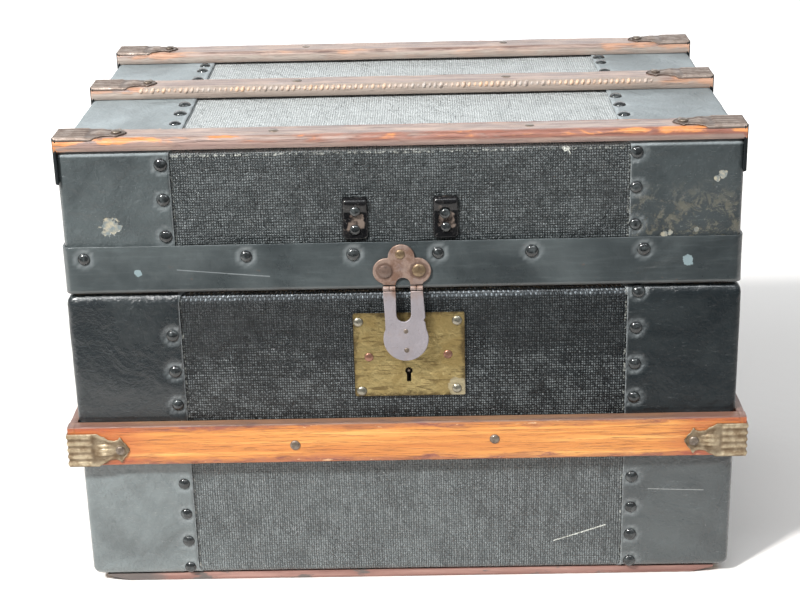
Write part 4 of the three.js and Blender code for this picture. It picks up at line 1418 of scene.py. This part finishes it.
def spade(reach):
    """Half width of a clamp, as a share of its full half width, that far from its tip in millimetres."""
    for (start, low), (end, high) in zip(SPADE, SPADE[1:]):
        if reach < end:
            share = (reach - start) / (end - start)
            return low + (high - low) * share * share * (3 - 2 * share)
    return 1.0


def hump(value, centre, width):
    return math.exp(-(((value - centre) / width) ** 2))


def relief(reach, across, half):
    """Height of the stamping: a raised rim, a nail boss, a fluted bulb and a row of ribs, in millimetres."""
    wide = spade(reach)
    side = abs(across) / max(wide, 0.05)
    height = 0.55 * hump(side, 0.9, 0.13)
    off = math.hypot(reach - 5.8, across * half / MM)
    height += 0.75 * math.exp(-((off / 2.9) ** 4))
    bulb = max(0.0, 1 - abs(reach - 15.2) / 6.8)
    narrow = 0.46 + 0.2 * min(1.0, bulb)
    if side < narrow:
        height += 1.15 * math.sqrt(bulb) * (1 - (side / narrow) ** 2)
        height += 0.55 * bulb * math.cos(across * half / MM * 2.1)
    ribs = min(1.0, max(0.0, (reach - 22.5) / 1.6))
    return height + 0.95 * ribs * (0.5 + 0.5 * math.cos(across * math.tau * 2.5)) * (1 - side**8)


def stamped_clamp(name, tip, way, outward, first, second, half, material, both_ends, arris=0.0):
    """A stamped strip that starts at tip, runs along way for first, turns in and runs on for second."""
    bend = CLAMP_BEND
    turned_length = bend * math.pi / 2
    total = first - bend + turned_length + second - bend
    across = outward.cross(way)
    rows, columns = math.ceil(total / (0.62 * MM)), 30
    vertices, faces, hollows = [], [], []
    for i in range(rows + 1):
        run = total * i / rows
        if run < first - bend:
            point, normal = tip + way * run, outward
        elif run < first - bend + turned_length:
            turn = (run - first + bend) / bend
            normal = outward * math.cos(turn) + way * math.sin(turn)
            point = tip + way * (first - bend) - outward * bend + normal * bend
        else:
            rest = run - (first - bend + turned_length)
            point, normal = tip + way * first - outward * (bend + rest), way
        far = total - run if both_ends else total
        reach = min(run, far) / MM
        for j in range(columns + 1):
            share = 2 * j / columns - 1
            wide = spade(reach)
            height = relief(reach, share * wide, half)
            over = max(0.0, abs(share * wide * half) - 12 * MM + arris)
            drop = arris - math.sqrt(arris**2 - over**2) if over < arris else arris
            out = (height - 1.1) * 0.85 * MM - drop
            vertices.append(point + across * (share * wide * half) + normal * out)
            # hollow: 1 in the stamping's low places, drawn darker with grime and painted shade, and 2 on a
            # lid clamp's leg past the bend, drawn as dark as the paint.
            hollows.append(max(0.0, min(1.0, 1.0 - height * 0.8)) if both_ends or run < first else 2.0)
    size = columns + 1
    for i in range(rows):
        for j in range(columns):
            a = i * size + j
            faces.append([a, a + size, a + size + 1, a + 1])
    piece = mesh_object(name, vertices, faces, material, crease=70.0)
    layer = piece.data.attributes.new("hollow", "FLOAT", "POINT")
    layer.data.foreach_set("value", hollows)
    return solidify(piece, CLAMP_SHEET)


def inner_outer(low, high, hand):
    """The x of a box's end nearer the middle, and of its outer end."""
    return (low.x, high.x) if hand > 0 else (high.x, low.x)


def make_clamps():
    """The six steel clamps on the lid's slats and the four brass ones at the case's corners."""
    radius, iron = sizes().small_nail_radius, finish(nail_head, "iron")
    lid_nails, case_nails = [], []
    for row, (side, hand) in product(("front", "middle", "back"), SIDES):
        node, way = f"lid_clamp_{row}_{side}", RIGHT * hand
        low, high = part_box(node)
        inner, outer = inner_outer(low, high, hand)
        tip = Vector((inner, (low.y + high.y) / 2, high.z + CLAMP_STAND))
        spans = abs(outer - inner), high.z - low.z, (high.y - low.y) / 2
        steel = finish(stamped_metal, 0)
        piece = stamped_clamp(node + "_stamping", tip, way, UP.copy(), *spans, steel, False, LID_ARRIS)
        place_piece(piece, "lid", [node])
        lid_nails.append((tip + way * LID_BOSS - UP * BOSS_SINK, UP))
        lid_nails.append((Vector((outer, tip.y, low.z + LID_BOSS)), way))
    for (face, out), (side, hand) in product((("front", FRONT), ("back", BACK)), SIDES):
        node, way = f"slat_corner_{face}_{side}", RIGHT * hand
        low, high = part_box(node)
        inner, outer = inner_outer(low, high, hand)
        depth = low.y if out.y < 0 else high.y
        tip = Vector((inner, depth, (low.z + high.z) / 2)) + out * CLAMP_STAND
        spans = abs(outer - inner) + CLAMP_STAND, high.y - low.y, (high.z - low.z) / 2
        brass = finish(stamped_metal, 1)
        piece = stamped_clamp(node + "_stamping", tip, way, out.copy(), *spans, brass, True)
        place_piece(piece, "case", [node])
        case_nails.append((tip + way * CASE_BOSS - out * BOSS_SINK, out))
        behind = depth - out.y * (high.y - low.y - CASE_BOSS)
        case_nails.append((Vector((outer, behind, tip.z)), way))
    nail_heads("clamp_nails_lid", lid_nails, radius, 0.4, iron, "lid", 13)
    nail_heads("clamp_nails_case", case_nails, radius, 0.45, iron, "case", 15)


# ---------------------------------------------------------------- lock
KEYHOLE, KEY_R, KEY_SLOT, KEY_SLOT_LOW = (0.0027, 0.1467), 2.3 * MM, 1.3 * MM, 0.1395
STAPLE_GAP, STAPLE_LOW, STAPLE_HIGH = 1.6 * MM, 0.1612, 0.1772
PLATE_CORNER = 1.0 * MM
PLATE_NAILS = ((-0.0275, 0.1795), (0.0327, 0.1796), (-0.0266, 0.1335), (0.0322, 0.1344))
COPPER_RIVETS = ((-0.0216, 0.1562), (0.0269, 0.1573))


def make_lock():
    """The brass plate, with its keyhole and the opening for the staple, its nails and its rivets."""
    low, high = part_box("lock_plate")
    keyhole_x, keyhole_z = KEYHOLE
    half_angle = math.degrees(math.asin(KEY_SLOT / KEY_R))
    keyhole = arc(keyhole_x, keyhole_z, KEY_R, -90 + half_angle, 270 - half_angle, 24)
    keyhole += [(keyhole_x - KEY_SLOT, KEY_SLOT_LOW), (keyhole_x + KEY_SLOT, KEY_SLOT_LOW)]
    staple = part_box("hasp_staple")
    middle = (staple[0].x + staple[1].x) / 2
    left, right = middle - STAPLE_GAP, middle + STAPLE_GAP
    opening = [(left, STAPLE_LOW), (right, STAPLE_LOW), (right, STAPLE_HIGH), (left, STAPLE_HIGH)]
    ends = (low.x + PLATE_CORNER, high.x - PLATE_CORNER), (low.z + PLATE_CORNER, high.z - PLATE_CORNER)
    outline = []
    for quarter, (side, level) in enumerate(((1, 0), (1, 1), (0, 1), (0, 0))):
        start = 90 * (quarter - 1)
        outline += arc(ends[0][side], ends[1][level], PLATE_CORNER, start, start + 90, 4)
    holes = [keyhole, opening]
    brass = finish(aged_brass)
    plate = cut_plate("lock_plate_brass", outline, holes, brass, upright(low.y), high.y - low.y)
    place_piece(plate, "case", ["lock_plate"])
    nails = [((x, low.y, z), FRONT) for x, z in PLATE_NAILS]
    nail_heads(
        "lock_plate_nails", nails, 3.2 * MM, 0.5, finish(nail_head, "steel"), "case", 17
    )
    rivets = [((x, low.y, z), FRONT) for x, z in COPPER_RIVETS]
    nail_heads("lock_rivets", rivets, 2.9 * MM, 0.36, finish(nail_head, "copper"), "case", 19)
    dark = finish(nail_head, "iron")
    for node in ("lock_case", "lock_bolt", "hasp_staple", "hasp_pin_left", "hasp_pin_right"):
        paint_node(node, dark)


def paint_node(node, material):
    """Gives a carried-over CAD node its finish."""
    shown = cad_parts[node]
    shown.data.materials.clear()
    shown.data.materials.append(material)


# ---------------------------------------------------------------- hasp
HINGE_Y, HINGE_Z = -0.1274, 0.202
SLOT_LEFT, SLOT_RIGHT, SLOT_TOP, SLOT_BOTTOM = -4.0 * MM, 4.9 * MM, 206.5 * MM, 181.3 * MM
SLOT_MIDDLE, SLOT_R = (SLOT_RIGHT + SLOT_LEFT) / 2, (SLOT_RIGHT - SLOT_LEFT) / 2
HASP_REST = math.radians(9)
PLATE_T, TONGUE_T, BARREL_R = 1.2 * MM, 1.3 * MM, 1.45 * MM
TREFOIL_CENTRE = (0.0, 0.2105)
LOBES = ((-0.0003, 0.2214, 0.008), (-0.0094, 0.2126, 0.0082), (0.0093, 0.2126, 0.0082))
TONGUE_DISC = (0.0016, 0.1707, 0.0137)
STAPLE_FEET = ((0.0016, 0.1754), (0.0019, 0.1636))


def ray_to_circle(angle, centre, circle):
    """How far from centre a ray at that angle leaves a circle (x, z, radius), or 0 if it misses."""
    dx, dz = circle[0] - centre[0], circle[1] - centre[1]
    along = dx * math.cos(angle) + dz * math.sin(angle)
    off = dx * math.sin(angle) - dz * math.cos(angle)
    return along + math.sqrt(circle[2] ** 2 - off**2) if abs(off) < circle[2] else 0.0


def trefoil():
    """The outline of the hasp's fixed plate: three lobes over two short arms."""
    left, right, foot = -11.8 * MM, 12.4 * MM, 203.8 * MM
    centre = TREFOIL_CENTRE
    start = math.atan2(foot - centre[1], right)
    end = math.atan2(foot - centre[1], left) % math.tau
    steps = 72
    points = []
    for i in range(steps + 1):
        angle = start + (end - start) * i / steps
        reach = max(ray_to_circle(angle, centre, lobe) for lobe in LOBES)
        side = right if math.cos(angle) > 0 else left
        arm = side / math.cos(angle) if math.sin(angle) < 0.25 else 0.0
        reach = max(reach, arm)
        points.append((centre[0] + reach * math.cos(angle), centre[1] + reach * math.sin(angle)))
    top = arc(SLOT_MIDDLE, max(foot, SLOT_TOP - SLOT_R), SLOT_R, 180, 0, 14)
    slot = [(SLOT_LEFT, foot), *top, (SLOT_RIGHT, foot)]
    return points + slot


def tongue_outline():
    """The swinging tongue: two arms round a slot, over a disc."""
    top = HINGE_Z - 1.8 * MM
    left = [(-0.0118, top), (-0.0113, 0.190), (-0.0109, 0.184)]
    round_disc = arc(*TONGUE_DISC, 155, 385, 44)
    right = [(0.0134, 0.1808), (0.0125, 0.1822), (0.0136, 0.1838), (0.0131, 0.190), (0.0124, top)]
    bottom = arc(SLOT_MIDDLE, SLOT_BOTTOM + SLOT_R, SLOT_R, 0, -180, 16)
    slot = [(SLOT_RIGHT, top), *bottom, (SLOT_LEFT, top)]
    return left + round_disc + right + slot


def make_hasp():
    """The fixed plate, the tongue hanging from it, their knuckles and the rivets."""
    rusty = finish(rusted_steel)
    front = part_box("hasp_plate")[1].y - PLATE_T
    plate = cut_plate("hasp_trefoil", trefoil(), [], rusty, upright(front), PLATE_T, 0.3 * MM)
    place_piece(plate, "lid", ["hasp_plate"])
    hinge_line = Vector((0, HINGE_Y, HINGE_Z))
    swing = Matrix.Translation(hinge_line) @ Matrix.Rotation(-HASP_REST, 4, "X")
    swing = swing @ Matrix.Translation(-hinge_line)
    hanging = upright(HINGE_Y - TONGUE_T / 2)
    tongue = cut_plate(
        "hasp_tongue_plate",
        tongue_outline(),
        [],
        rusty,
        lambda a, b, depth: swing @ hanging(a, b, depth),
        TONGUE_T,
        0.35 * MM,
    )
    place_piece(tongue, "hasp", ["hasp_tongue"])
    for name, body, spans in (
        ("hasp_tongue_knuckles", "hasp", ((-11.8, -8.0), (8.6, 12.4))),
        ("hasp_plate_knuckles", "lid", ((-7.7, -4.2), (4.8, 8.3))),
    ):
        shapes = []
        for start, end in spans:
            centre = Vector(((start + end) / 2 * MM, HINGE_Y, HINGE_Z))
            shapes.append((rod_profile(BARREL_R, (end - start) * MM), centre, RIGHT))
        place_piece(turned(name, shapes, rusty, 20), body)
    way = swing.to_3x3() @ FRONT
    feet = [(swing @ hanging(x, z, 0.0), way) for x, z in STAPLE_FEET]
    nail_heads("staple_feet", feet, 1.5 * MM, 0.25, finish(nail_head, "iron"), "hasp", 23)
    disc = [(4.0 * MM, 0.0), (4.0 * MM, 0.55 * MM), (3.6 * MM, 0.8 * MM), (0, 0.85 * MM)]
    left = (disc, Vector((-0.0102, front, 0.2127)), FRONT)
    flat = turned("hasp_rivet_flat", [left], finish(nail_head, "umber"))
    place_piece(flat, "lid", ["hasp_rivet_left"])
    domes = [((0.0102, front, 0.2129), FRONT)]
    brassy = finish(nail_head, "dull_brass")
    nail_heads(
        "hasp_rivet_dome", domes, 4.2 * MM, 0.3, brassy, "lid", 25, ["hasp_rivet_right"]
    )
    domes = [((-0.001, front, 0.2233), FRONT)]
    nail_heads(
        "hasp_rivet_crown", domes, 3.3 * MM, 0.34, brassy, "lid", 27, ["hasp_rivet_top"]
    )


# ---------------------------------------------------------------- handle tabs
TAB_STAND, TAB_ROLL, TAB_DENT = 1.5 * MM, 2.1 * MM, 0.35 * MM
TAB_NAILS = {"left": ((-0.0271, 0.2504), (-0.0274, 0.2385)), "right": ((0.0264, 0.2481), (0.0268, 0.2393))}


def make_tabs():
    """Two folded straps with a rolled top, each under two nails."""
    nails = []
    for side, places in TAB_NAILS.items():
        node = f"handle_tab_{side}"
        low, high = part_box(node)
        rows, columns = 34, 20
        vertices, faces = [], []
        for i in range(rows + 1):
            rise = i / rows
            z = low.z + (high.z - low.z) * rise
            roll = max(0.0, (rise - 0.66) / 0.34)
            stand = TAB_STAND + TAB_ROLL * math.sin(min(1.0, roll * 1.25) * math.pi * 0.62)
            stand *= math.sqrt(max(0.02, 1 - max(0.0, (rise - 0.9) / 0.1) ** 2))
            for j in range(columns + 1):
                share = 2 * j / columns - 1
                edge = math.sqrt(max(0.0, 1 - abs(share) ** 6))
                half = (high.x - low.x) / 2 * (1 - 0.2 * max(0.0, (abs(rise - 0.5) - 0.38) / 0.12) ** 3)
                x = (low.x + high.x) / 2 + share * half
                dent = TAB_DENT * noise.noise(Vector((x * 160, z * 160, 7.0)))
                vertices.append((x, high.y - (stand + dent) * (0.25 + 0.75 * edge), z))
        for i in range(rows):
            for j in range(columns):
                a = i * (columns + 1) + j
                faces.append([a, a + 1, a + columns + 2, a + columns + 1])
        piece = mesh_object(node + "_strap", vertices, faces, finish(tab_steel), crease=60.0)
        solidify(piece, 0.5 * MM)
        place_piece(piece, "lid", [node])
        nails += [((x, high.y - (1.6 if z < 0.248 else 2.7) * MM, z), FRONT) for x, z in places]
    nail_heads("tab_nails", nails, 3.1 * MM, 0.5, finish(nail_head, "black"), "lid", 29)


# ---------------------------------------------------------------- hinges
LEAF_HALF, LEAF_T, LEAF_STEP = 15 * MM, 1.2 * MM, 3 * MM
KNUCKLE, KNUCKLE_R, LUG_LAP, LUG_END = 10 * MM, 2.25 * MM, 0.4 * MM, 1.3 * MM
KNUCKLES = {"case": ((-1.5, -0.53), (0.53, 1.5)), "lid": ((-0.5, 0.5),)}
LEAF_NAILS = ((-7.5 * MM, 8 * MM), (7.5 * MM, 8 * MM), (0.0, 18 * MM))


def make_hinges():
    """Leaves with round ends, and their rolled knuckles, on the back."""
    steel = finish(japanned_steel)
    nails = {"case": [], "lid": []}
    for side in ("left", "right"):
        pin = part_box(f"hinge_pin_{side}")
        centre = (pin[0] + pin[1]) / 2
        for body, up in (("case", -1), ("lid", 1)):
            node = f"hinge_{body}_leaf_{side}"
            low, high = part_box(node)
            face, far = low.y, low.z if up < 0 else high.z
            near = centre.z + up * LEAF_STEP
            round_end = arc(centre.x, far - up * LEAF_HALF, LEAF_HALF, 0, 180 * up, 20)
            outline = [(centre.x - LEAF_HALF, near), (centre.x + LEAF_HALF, near), *round_end]
            leaf = cut_plate(node + "_plate", outline, [], steel, upright(face), LEAF_T)
            place_piece(leaf, body, [node])
            spans = [
                (centre.x + start * KNUCKLE, centre.x + end * KNUCKLE) for start, end in KNUCKLES[body]
            ]
            shapes = []
            for left, right in spans:
                at = Vector(((left + right) / 2, centre.y, centre.z))
                shapes.append((rod_profile(KNUCKLE_R, right - left), at, RIGHT))
            place_piece(turned(f"{node}_knuckles", shapes, steel, 24), body)
            lap, tip = near - up * LUG_LAP, centre.z + up * LUG_END
            for number, (left, right) in enumerate(spans):
                corners = [(left, lap), (right, lap), (right, tip), (left, tip)]
                name = f"{node}_lug_{number}"
                lug = cut_plate(name, corners, [], steel, upright(face), centre.y - face, 0.15 * MM)
                place_piece(lug, body)
            for shift, reach in LEAF_NAILS:
                nails[body].append(((centre.x + shift, face + LEAF_T, near + up * reach), BACK))
        paint_node(f"hinge_pin_{side}", finish(nail_head, "iron"))
    for body, found in nails.items():
        black = finish(nail_head, "black")
        nail_heads(f"hinge_nails_{body}", found, 2.4 * MM, 0.4, black, body, 31)


# ---------------------------------------------------------------- boards and lining
def make_inside():
    """The pine boards and the lining keep their CAD shape and get their finish."""
    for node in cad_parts:
        if node.endswith("_board"):
            paint_node(node, finish(bare_pine))
        if node.endswith("_lining"):
            paint_node(node, finish(lining_paper))


# ---------------------------------------------------------------- stage
CAMERA_PLACE = Vector((0.0176, -1.0689, 0.5574))
CAMERA_PITCH, CAMERA_YAW, CAMERA_ROLL = math.radians(21.13), math.radians(1.17), math.radians(-1.48)
CAMERA_LENS = 75.15
FLOOR_HALF, FLOOR_FRONT, FLOOR_BACK = 6.0, -0.44, 8.0


def area_light(name, place, target, size, power, tint=(1.0, 1.0, 1.0)):
    data = bpy.data.lights.new(name, "AREA")
    data.shape = "RECTANGLE"
    data.size, data.size_y = size
    data.energy = power
    data.color = tint
    lamp = new_object(name, data)
    lamp.location = place
    lamp.rotation_mode = "QUATERNION"
    lamp.rotation_quaternion = (Vector(target) - Vector(place)).to_track_quat("-Z", "Y")


def make_stage():
    """The floor, the surroundings, the lights and the camera."""
    s = studio()
    scene = bpy.context.scene
    scene.view_settings.view_transform = "Standard"
    world = bpy.data.worlds.new("white_surroundings")
    world.use_nodes = True
    # Pale overhead and dark below, so the glossy paint has something to reflect past the floor's front edge.
    tree, sky = world.node_tree, world.node_tree.nodes["Background"]
    way = tree.nodes.new("ShaderNodeTexCoord")
    rise = tree.nodes.new("ShaderNodeSeparateXYZ")
    shade = tree.nodes.new("ShaderNodeMapRange")
    for key, value in {"From Min": -0.42, "From Max": 0.1, "To Min": 0.12 * s.sky, "To Max": s.sky}.items():
        shade.inputs[key].default_value = value
    tree.links.new(way.outputs["Generated"], rise.inputs[0])
    tree.links.new(rise.outputs["Z"], shade.inputs["Value"])
    tree.links.new(shade.outputs["Result"], sky.inputs["Strength"])
    sky.inputs["Color"].default_value = (0.95, 0.98, 1.0, 1.0)
    scene.world = world
    corners = [
        (-FLOOR_HALF, FLOOR_FRONT, 0.0),
        (FLOOR_HALF, FLOOR_FRONT, 0.0),
        (FLOOR_HALF, FLOOR_BACK, 0.0),
        (-FLOOR_HALF, FLOOR_BACK, 0.0),
    ]
    mesh_object("floor", corners, [[0, 1, 2, 3]], finish(glowing_floor))
    target = (0.0, 0.0, 0.15)
    area_light("key", (-1.1, -1.3, 1.7), target, (0.2, 0.2), s.key_power, (1.0, 0.985, 0.96))
    area_light("fill", (0.2, -1.15, 1.7), target, (2.6, 0.22), s.fill_power, (0.94, 0.97, 1.0))
    area_light("back", (-0.1, 0.95, 0.8), (0.0, 0.0, 0.3), (2.0, 0.7), s.back_power, (0.96, 0.98, 1.0))
    level = math.cos(CAMERA_PITCH)
    forward = (-math.sin(CAMERA_YAW) * level, math.cos(CAMERA_YAW) * level, -math.sin(CAMERA_PITCH))
    forward = Vector(forward)
    right = Vector((math.cos(CAMERA_YAW), math.sin(CAMERA_YAW), 0.0))
    up = right.cross(forward)
    turned_right = right * math.cos(CAMERA_ROLL) + up * math.sin(CAMERA_ROLL)
    turned_up = up * math.cos(CAMERA_ROLL) - right * math.sin(CAMERA_ROLL)
    turn = Matrix((turned_right, turned_up, -forward)).transposed()
    data = bpy.data.cameras.new("camera")
    data.lens, data.sensor_width = CAMERA_LENS, 36.0
    data.clip_start, data.clip_end = 0.05, 50.0
    camera = new_object("camera", data)
    camera.matrix_world = Matrix.Translation(CAMERA_PLACE) @ turn.to_4x4()
    scene.camera = camera


# ---------------------------------------------------------------- the add-on
class TRUNK_OT_stage(bpy.types.Operator):
    """Make the floor, the lights and the camera"""

    bl_idname = "trunk.stage"
    bl_label = "Stage"

    def execute(self, context):
        make_stage()
        return {"FINISHED"}


class TRUNK_OT_inside(bpy.types.Operator):
    """Finish the pine boards and the lining paper"""

    bl_idname = "trunk.inside"
    bl_label = "Boards and lining"

    def execute(self, context):
        make_inside()
        return {"FINISHED"}


class TRUNK_OT_cloth(bpy.types.Operator):
    """Make the painted cloth of the case and the lid"""

    bl_idname = "trunk.cloth"
    bl_label = "Painted cloth"

    def execute(self, context):
        make_cloth()
        return {"FINISHED"}


class TRUNK_OT_covers(bpy.types.Operator):
    """Make the fibre corner pieces, the lid's end bands and the rim band"""

    bl_idname = "trunk.covers"
    bl_label = "Fibre covers and rim band"

    def execute(self, context):
        make_corners()
        make_end_bands()
        make_rim_band()
        return {"FINISHED"}


class TRUNK_OT_slats(bpy.types.Operator):
    """Make the oak slats and the rows of carved beads"""

    bl_idname = "trunk.slats"
    bl_label = "Slats"

    def execute(self, context):
        make_slats()
        make_beads()
        return {"FINISHED"}


class TRUNK_OT_runners(bpy.types.Operator):
    """Make the three runners under the case"""

    bl_idname = "trunk.runners"
    bl_label = "Runners"

    def execute(self, context):
        make_runners()
        return {"FINISHED"}


class TRUNK_OT_clamps(bpy.types.Operator):
    """Make the stamped clamps on the slats and their nails"""

    bl_idname = "trunk.clamps"
    bl_label = "Clamps"

    def execute(self, context):
        make_clamps()
        return {"FINISHED"}


class TRUNK_OT_lock(bpy.types.Operator):
    """Make the brass lock plate with its nails and rivets"""

    bl_idname = "trunk.lock"
    bl_label = "Lock"

    def execute(self, context):
        make_lock()
        return {"FINISHED"}


class TRUNK_OT_hasp(bpy.types.Operator):
    """Make the hasp's plate, tongue, knuckles and rivets"""

    bl_idname = "trunk.hasp"
    bl_label = "Hasp"

    def execute(self, context):
        make_hasp()
        return {"FINISHED"}


class TRUNK_OT_tabs(bpy.types.Operator):
    """Make the two handle tabs on the lid's front"""

    bl_idname = "trunk.tabs"
    bl_label = "Handle tabs"

    def execute(self, context):
        make_tabs()
        return {"FINISHED"}


class TRUNK_OT_hinges(bpy.types.Operator):
    """Make the two hinges on the back"""

    bl_idname = "trunk.hinges"
    bl_label = "Hinges"

    def execute(self, context):
        make_hinges()
        return {"FINISHED"}


class TRUNK_OT_nails(bpy.types.Operator):
    """Put the domed nails in the covers, the rim band and the slats"""

    bl_idname = "trunk.nails"
    bl_label = "Nails"

    def execute(self, context):
        make_nails()
        return {"FINISHED"}


OPERATORS = (
    TRUNK_OT_stage,
    TRUNK_OT_inside,
    TRUNK_OT_cloth,
    TRUNK_OT_covers,
    TRUNK_OT_slats,
    TRUNK_OT_runners,
    TRUNK_OT_clamps,
    TRUNK_OT_lock,
    TRUNK_OT_hasp,
    TRUNK_OT_tabs,
    TRUNK_OT_hinges,
    TRUNK_OT_nails,
)
GROUPS = {"trunk_sizes": TrunkSizes, "trunk_colours": TrunkColours, "trunk_studio": TrunkStudio}


class TRUNK_PT_panel(bpy.types.Panel):
    """Lists the trunk's sizes, colours and pieces"""

    bl_idname = "TRUNK_PT_panel"
    bl_label = "Steamer trunk"
    bl_space_type = "VIEW_3D"
    bl_region_type = "UI"
    bl_category = "Trunk"

    def draw(self, context):
        layout = self.layout
        for group in GROUPS:
            box = layout.box()
            values = getattr(context.scene, group)
            for name in values.__annotations__:
                box.prop(values, name)
        for operator in OPERATORS:
            layout.operator(operator.bl_idname)


def register():
    for group in GROUPS.values():
        bpy.utils.register_class(group)
    for operator in OPERATORS:
        bpy.utils.register_class(operator)
    bpy.utils.register_class(TRUNK_PT_panel)
    for name, group in GROUPS.items():
        setattr(bpy.types.Scene, name, PointerProperty(type=group))


def unregister():
    for name in GROUPS:
        delattr(bpy.types.Scene, name)
    bpy.utils.unregister_class(TRUNK_PT_panel)
    for operator in reversed(OPERATORS):
        bpy.utils.unregister_class(operator)
    for group in GROUPS.values():
        bpy.utils.unregister_class(group)


def main():
    register()
    for operator in OPERATORS:
        family, name = operator.bl_idname.split(".")
        getattr(getattr(bpy.ops, family), name)()


if __name__ == "__main__":
    main()
